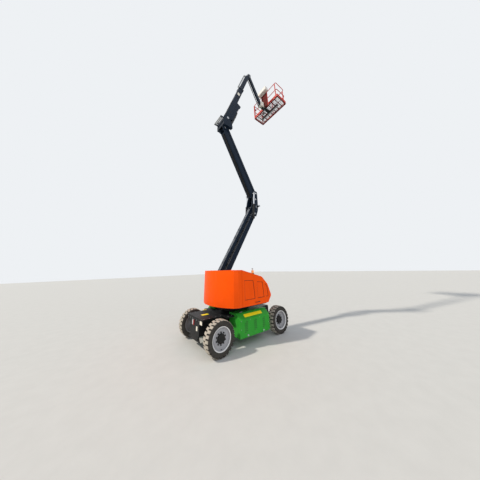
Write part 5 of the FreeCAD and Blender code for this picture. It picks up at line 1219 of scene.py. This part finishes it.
# Platform: the rotator below it, its support, mesh floor, ribs, bolts and welds.
# X and y are measured from the platform's middle, z from its floor.
rotator = pivot("platform_rotate")
platform = {"x": rotator.x + 0.630, "floorZ": rotator.z + 0.073, "halfLong": 0.915, "halfDeep": 0.380,
            "mountBolts": 12, "mountCircle": 0.070, "mountFaces": ((0.2604, 1), (-0.1704, -1)),
            "bands": (-0.12, -0.06, 0.0, 0.06, 0.12, 0.18), "bandInner": 0.086, "bandOuter": 0.0905,
            "bandHeight": 0.010, "stripHalf": (0.018, 0.600), "stripZ": (-0.1545, -0.1500),
            "ribsY": (-0.68, -0.23, 0.23, 0.68), "ribHalf": (0.34, 0.012), "ribZ": (-0.040, -0.009),
            "supportBolts": (0.033, 0.50, -0.1505), "boardY": (-0.86, -0.45, 0.0, 0.45, 0.86),
            "boardX": 0.3833, "boardZ": 0.035,
            "posts": ((-0.361, 0.896), (0.361, 0.896), (-0.361, -0.809), (0.361, -0.809), (0.361, 0.0)),
            "weldZ": (1.065, 0.544), "weldHalf": (0.017, 0.0195)}


def onPlatform(x, y, z):
    return Vector((platform["x"] + x, y, platform["floorZ"] + z))


work = bmesh.new()
for height, way in platform["mountFaces"]:
    for x, y in onCircle(platform["mountBolts"], platform["mountCircle"]):
        addBolt(work, rotator + Vector((x, y, height)), (0, 0, way), 0.006)
piece("mount_bolts", work, pinSteel, "platform", 30.0)
work = bmesh.new()
for height in platform["bands"]:
    addBand(work, (rotator.x, 0, rotator.z + height), (0, 0, 1), platform["bandInner"], platform["bandOuter"], 0.0,
            platform["bandHeight"], 40)
piece("rotator_bands", work, paintCream, nodeBody["platform_bracket"], 30.0)
work = bmesh.new()
x, y = platform["stripHalf"]
addBlock(work, onPlatform(-x, -y, platform["stripZ"][0]), onPlatform(x, y, platform["stripZ"][1]))
piece("support_strip", work, galvanised, "platform", 0.0, 0.001)

# Expanded metal floor: two families of slanted strips cut to the floor, with a frame round them
meshFloor = {"slope": 58, "pitch": 0.042, "width": 0.0045, "thick": 0.005, "drop": 0.0005, "frameWidth": 0.012}
low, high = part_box("platform_floor")


def slantedStrips(work, slope, top):
    # Each strip runs the floor's length and is cut where it leaves the floor's width
    spanX, spanY = high.x - low.x, high.y - low.y
    rise = math.tan(slope)
    across = Vector((-math.sin(slope), math.cos(slope), 0)) * meshFloor["width"] / 2
    reach = spanX * abs(rise)
    for number in range(int((spanY + 2 * reach) / meshFloor["pitch"])):
        startY = number * meshFloor["pitch"] - (reach if rise > 0 else 0.0)
        cuts = sorted((edge - startY) / (spanX * rise) for edge in (0.0, spanY))
        first, last = max(0.0, cuts[0]), min(1.0, cuts[1])
        if last - first < 0.02:
            continue
        rings = []
        for part in (first, last):
            point = Vector((low.x + spanX * part, low.y + startY + spanX * rise * part, 0))
            rings.append([work.verts.new(point + side * across + Vector((0, 0, z))) for side, z in (
                (-1, top - meshFloor["thick"]), (1, top - meshFloor["thick"]), (1, top), (-1, top))])
        joinRings(work, *rings)
        work.faces.new(rings[0][::-1])
        work.faces.new(rings[1])


work = bmesh.new()
slantedStrips(work, math.radians(meshFloor["slope"]), high.z - meshFloor["drop"])
slantedStrips(work, -math.radians(meshFloor["slope"]), high.z)
wide = meshFloor["frameWidth"]
for x in (low.x, high.x - wide):
    addBlock(work, (x, low.y, low.z), (x + wide, high.y, high.z))
for y in (low.y, high.y - wide):
    addBlock(work, (low.x, y, low.z), (high.x, y + wide, high.z))
floorPiece = piece("platform_floor_look", work, galvanised, "platform", 0.0)
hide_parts("platform_floor")

# Ribs under the floor, in the darker copy of the red: painted shade
work = bmesh.new()
for y in platform["ribsY"]:
    halfX, halfY = platform["ribHalf"]
    lowZ, highZ = platform["ribZ"]
    addBlock(work, onPlatform(-halfX, y - halfY, lowZ), onPlatform(halfX, y + halfY, highZ))
piece("floor_ribs", work, redPaintedShade, "platform", 0.0, 0.001)
work = bmesh.new()
x, y, z = platform["supportBolts"]
for sideY in (-1, 1):
    for sideX in (-1, 1):
        addBolt(work, onPlatform(sideX * x, sideY * y, z), (0, 0, -1), 0.009)
for side in (-1, 1):
    for y in platform["boardY"]:
        addBolt(work, onPlatform(side * platform["boardX"], y, platform["boardZ"]), (side, 0, 0), 0.006, 0.1)
piece("platform_bolts", work, pinSteel, "platform", 30.0)
work = bmesh.new()
for x, y in platform["posts"]:
    halfX, halfY = platform["weldHalf"]
    for z in platform["weldZ"]:
        for side in (-1, 1):
            addWeld(work, onPlatform(x - halfX, y + side * halfY, z), onPlatform(x + halfX, y + side * halfY, z),
                    0.003)
piece("rail_welds", work, paintRed, "platform", 40.0)

# Gate: a latch and two hinge sleeves
gate = {"latch": ((-0.300, -0.050, 0.74), (-0.262, -0.004, 0.86)), "hinge": (0.315, -0.019), "hingesZ": (0.28, 0.81),
        "inner": 0.0195, "outer": 0.0235, "height": 0.060}  # y is measured from the platform's left edge
leftEdge = platform["halfLong"]
work = bmesh.new()
addBlock(work, *(onPlatform(x, leftEdge + y, z) for x, y, z in gate["latch"]))
piece("gate_latch", work, plasticBlack, nodeBody["gate"], 0.0, 0.004)
work = bmesh.new()
for z in gate["hingesZ"]:
    x, y = gate["hinge"]
    addBand(work, onPlatform(x, leftEdge + y, z), (0, 0, 1), gate["inner"], gate["outer"], 0.0, gate["height"], 24)
piece("gate_sleeves", work, pinSteel, nodeBody["gate"], 30.0)

# Control console: a sloping black panel with three sticks, switches and a stop knob, screws at the back, and a
# cable held by clips down the mount panel. Y is along the panel.
low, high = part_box("control_console")
console = {"slopeFoot": (0.060, -0.115), "slopeTop": (-0.020, 0.0), "panelSize": (0.540, 0.098),
           "sticksY": (-0.19, 0.02, 0.19),
           "stick": [(0.0, 0.0), (0.0, 0.026), (0.006, 0.024), (0.012, 0.016), (0.016, 0.009), (0.046, 0.006),
                     (0.048, 0.011), (0.060, 0.0145), (0.074, 0.012), (0.078, 0.0)],
           "switchesY": (-0.11, -0.085, -0.06, 0.075, 0.10, 0.125), "switchRows": (-0.022, 0.012),
           "stop": (-0.245, 0.005),
           "knob": [(0.0, 0.0), (0.0, 0.017), (0.004, 0.020), (0.013, 0.020), (0.017, 0.015), (0.017, 0.0)],
           "screwsY": (-0.20, -0.10, 0.0, 0.10, 0.20), "screwDrops": (0.03, 0.20),
           "cable": ((-0.470, 0.16, 1.120), (-0.474, 0.16, 1.02), (-0.420, 0.15, 0.86), (-0.412, 0.13, 0.50),
                     (-0.411, 0.11, 0.10), (-0.411, 0.08, -0.02)), "cableRadius": 0.011,
           "clip": ((-0.430, 0.10, 0.0), (-0.3925, 0.17, 0.020)), "clipsZ": (0.80, 0.45, 0.12)}
rearEdge = platform["x"] - platform["halfDeep"]
slopeFoot, slopeTop = (Vector((rearEdge + x, 0, high.z + z)) for x, z in (console["slopeFoot"], console["slopeTop"]))
up = (slopeTop - slopeFoot).normalized()
normal = Vector((up.z, 0, -up.x))


def onPanel(y, rise, off):
    return (slopeFoot + slopeTop) / 2 + Vector((0, y, 0)) + up * rise + normal * off


work = bmesh.new()
addPlate(work, onPanel(0.0, 0.0, -0.0003), up.cross(normal), up, *console["panelSize"], 0.0025)
piece("console_panel", work, plasticBlack, "platform")
work = bmesh.new()
for y in console["sticksY"]:
    addTurned(work, onPanel(y, 0.0, 0.002), normal, console["stick"], 24)
piece("console_sticks", work, plasticBlack, "platform", 40.0)
work = bmesh.new()
for y in console["switchesY"]:
    for rise in console["switchRows"]:
        addRod(work, onPanel(y, rise, 0.002), onPanel(y, rise, 0.008), 0.0055, 12)
        addRod(work, onPanel(y, rise, 0.007), onPanel(y, rise, 0.019), 0.0024, 8, 0.0032)
piece("console_switches", work, pinSteel, "platform", 30.0)
work = bmesh.new()
addRod(work, onPanel(*console["stop"], 0.002), onPanel(*console["stop"], 0.014), 0.010, 16)
addTurned(work, onPanel(*console["stop"], 0.013), normal, console["knob"], 24)
piece("console_stop_knob", work, knobRed, "platform", 30.0)
work = bmesh.new()
for y in console["screwsY"]:
    for drop in console["screwDrops"]:
        addBolt(work, (low.x, y, high.z - drop), (-1, 0, 0), 0.005)
piece("console_screws", work, pinSteel, "platform", 30.0)
work = bmesh.new()
addTube(work, smoothPath([onPlatform(*place) for place in console["cable"]]), console["cableRadius"], 12)
piece("console_cable", work, hoseBlack, "platform")
work = bmesh.new()
for z in console["clipsZ"]:
    addBlock(work, *(onPlatform(x, y, z + rise) for x, y, rise in console["clip"]))
piece("cable_clips", work, plasticBlack, "platform", 0.0, 0.002)

# Foot switch on the floor, and two lanyard rings round the top rail in front
footSwitch = {"base": ((-0.26, 0.28, 0.0), (-0.10, 0.40, 0.028)),
              "pedal": ((-0.245, 0.295, 0.027), (-0.13, 0.385, 0.046))}
work = bmesh.new()
addBlock(work, *(onPlatform(*corner) for corner in footSwitch["base"]))
piece("foot_switch_base", work, plasticBlack, "platform", 0.0, 0.004)
work = bmesh.new()
addBlock(work, *(onPlatform(*corner) for corner in footSwitch["pedal"]))
piece("foot_switch_pedal", work, paintRed, "platform", 0.0, 0.005)
lanyard = {"x": 0.361, "y": (-0.45, 0.45), "z": 1.062, "inner": 0.018, "outer": 0.0232, "half": 0.004}
work = bmesh.new()
for y in lanyard["y"]:
    addBand(work, onPlatform(lanyard["x"], y, lanyard["z"]), (0, 1, 0), lanyard["inner"], lanyard["outer"],
            -lanyard["half"], lanyard["half"], 28)
piece("lanyard_rings", work, pinSteel, "platform", 30.0)
print("platform details ready")

# Room: a plain pale floor and a pale surround that lights softly and shows white behind the machine
work = bmesh.new()
addBlock(work, (-60, -60, -0.02), (60, 60, 0.0))
floorMesh = meshOf(work, "floor")
floorItem = bpy.data.objects.new("floor", floorMesh)
scene.collection.objects.link(floorItem)
floorMesh.materials.append(finish("floor_sheet", "#CFCFCC", 0.8, cloud=0.02, grainHeight=0.0))

world = bpy.data.worlds.new("surround")
scene.world = world
world.use_nodes = True
tree = world.node_tree
tree.nodes.clear()
seen = addNode(tree, "ShaderNodeBackground", {}, {"Color": colour("#EEF1F4"), "Strength": 1.0})
lit = addNode(tree, "ShaderNodeBackground", {}, {"Color": colour("#E6ECF4"), "Strength": 0.52})
rays = addNode(tree, "ShaderNodeLightPath").outputs
direct = rays["Is Camera Ray"]
for kind in ("Is Glossy Ray", "Is Transmission Ray"):
    direct = addNode(tree, "ShaderNodeMath", {"operation": "MAXIMUM"}, {0: direct, 1: rays[kind]}).outputs[0]
choice = addNode(tree, "ShaderNodeMixShader", {}, {"Fac": direct, 1: lit.outputs[0], 2: seen.outputs[0]})
addNode(tree, "ShaderNodeOutputWorld", {}, {"Surface": choice.outputs[0]})


def sunLamp(name, energy, tone, aim, spread):
    data = bpy.data.lights.new(name, "SUN")
    data.energy = energy
    data.color = colour(tone)[:3]
    data.angle = math.radians(spread)
    item = bpy.data.objects.new(name, data)
    scene.collection.objects.link(item)
    item.rotation_euler = Vector(aim).to_track_quat("-Z", "Y").to_euler()


# The sun stands behind the camera and to its left; a broad pale fill lifts the machine's right side
sunLamp("sun", 2.6, "#FFF6E8", (0.78, -0.30, -0.80), 3)
sunLamp("fill", 0.9, "#F4F6FF", (0.15, 0.85, -0.45), 70)

# Camera: as fitted to the photo, 1.8 m above the ground behind the right rear wheel, with a wide lens
view = {"place": (-4.188, -4.455, 1.800), "right": (0.7866, -0.6169, -0.0272), "ahead": (0.5908, 0.7392, 0.3233),
        "lens": 12.078, "shiftY": -0.0552}
data = bpy.data.cameras.new("camera")
data.sensor_width = 36.0
data.lens = view["lens"]
data.shift_y = view["shiftY"]
camera = bpy.data.objects.new("camera", data)
scene.collection.objects.link(camera)
ahead = Vector(view["ahead"]).normalized()
right = Vector(view["right"]).normalized()
right = (right - ahead * right.dot(ahead)).normalized()
turn = Matrix((right, right.cross(ahead), -ahead)).transposed().to_4x4()
turn.translation = Vector(view["place"])
camera.matrix_world = turn
scene.camera = camera
scene.view_settings.view_transform = "Standard"

print("scene finished")
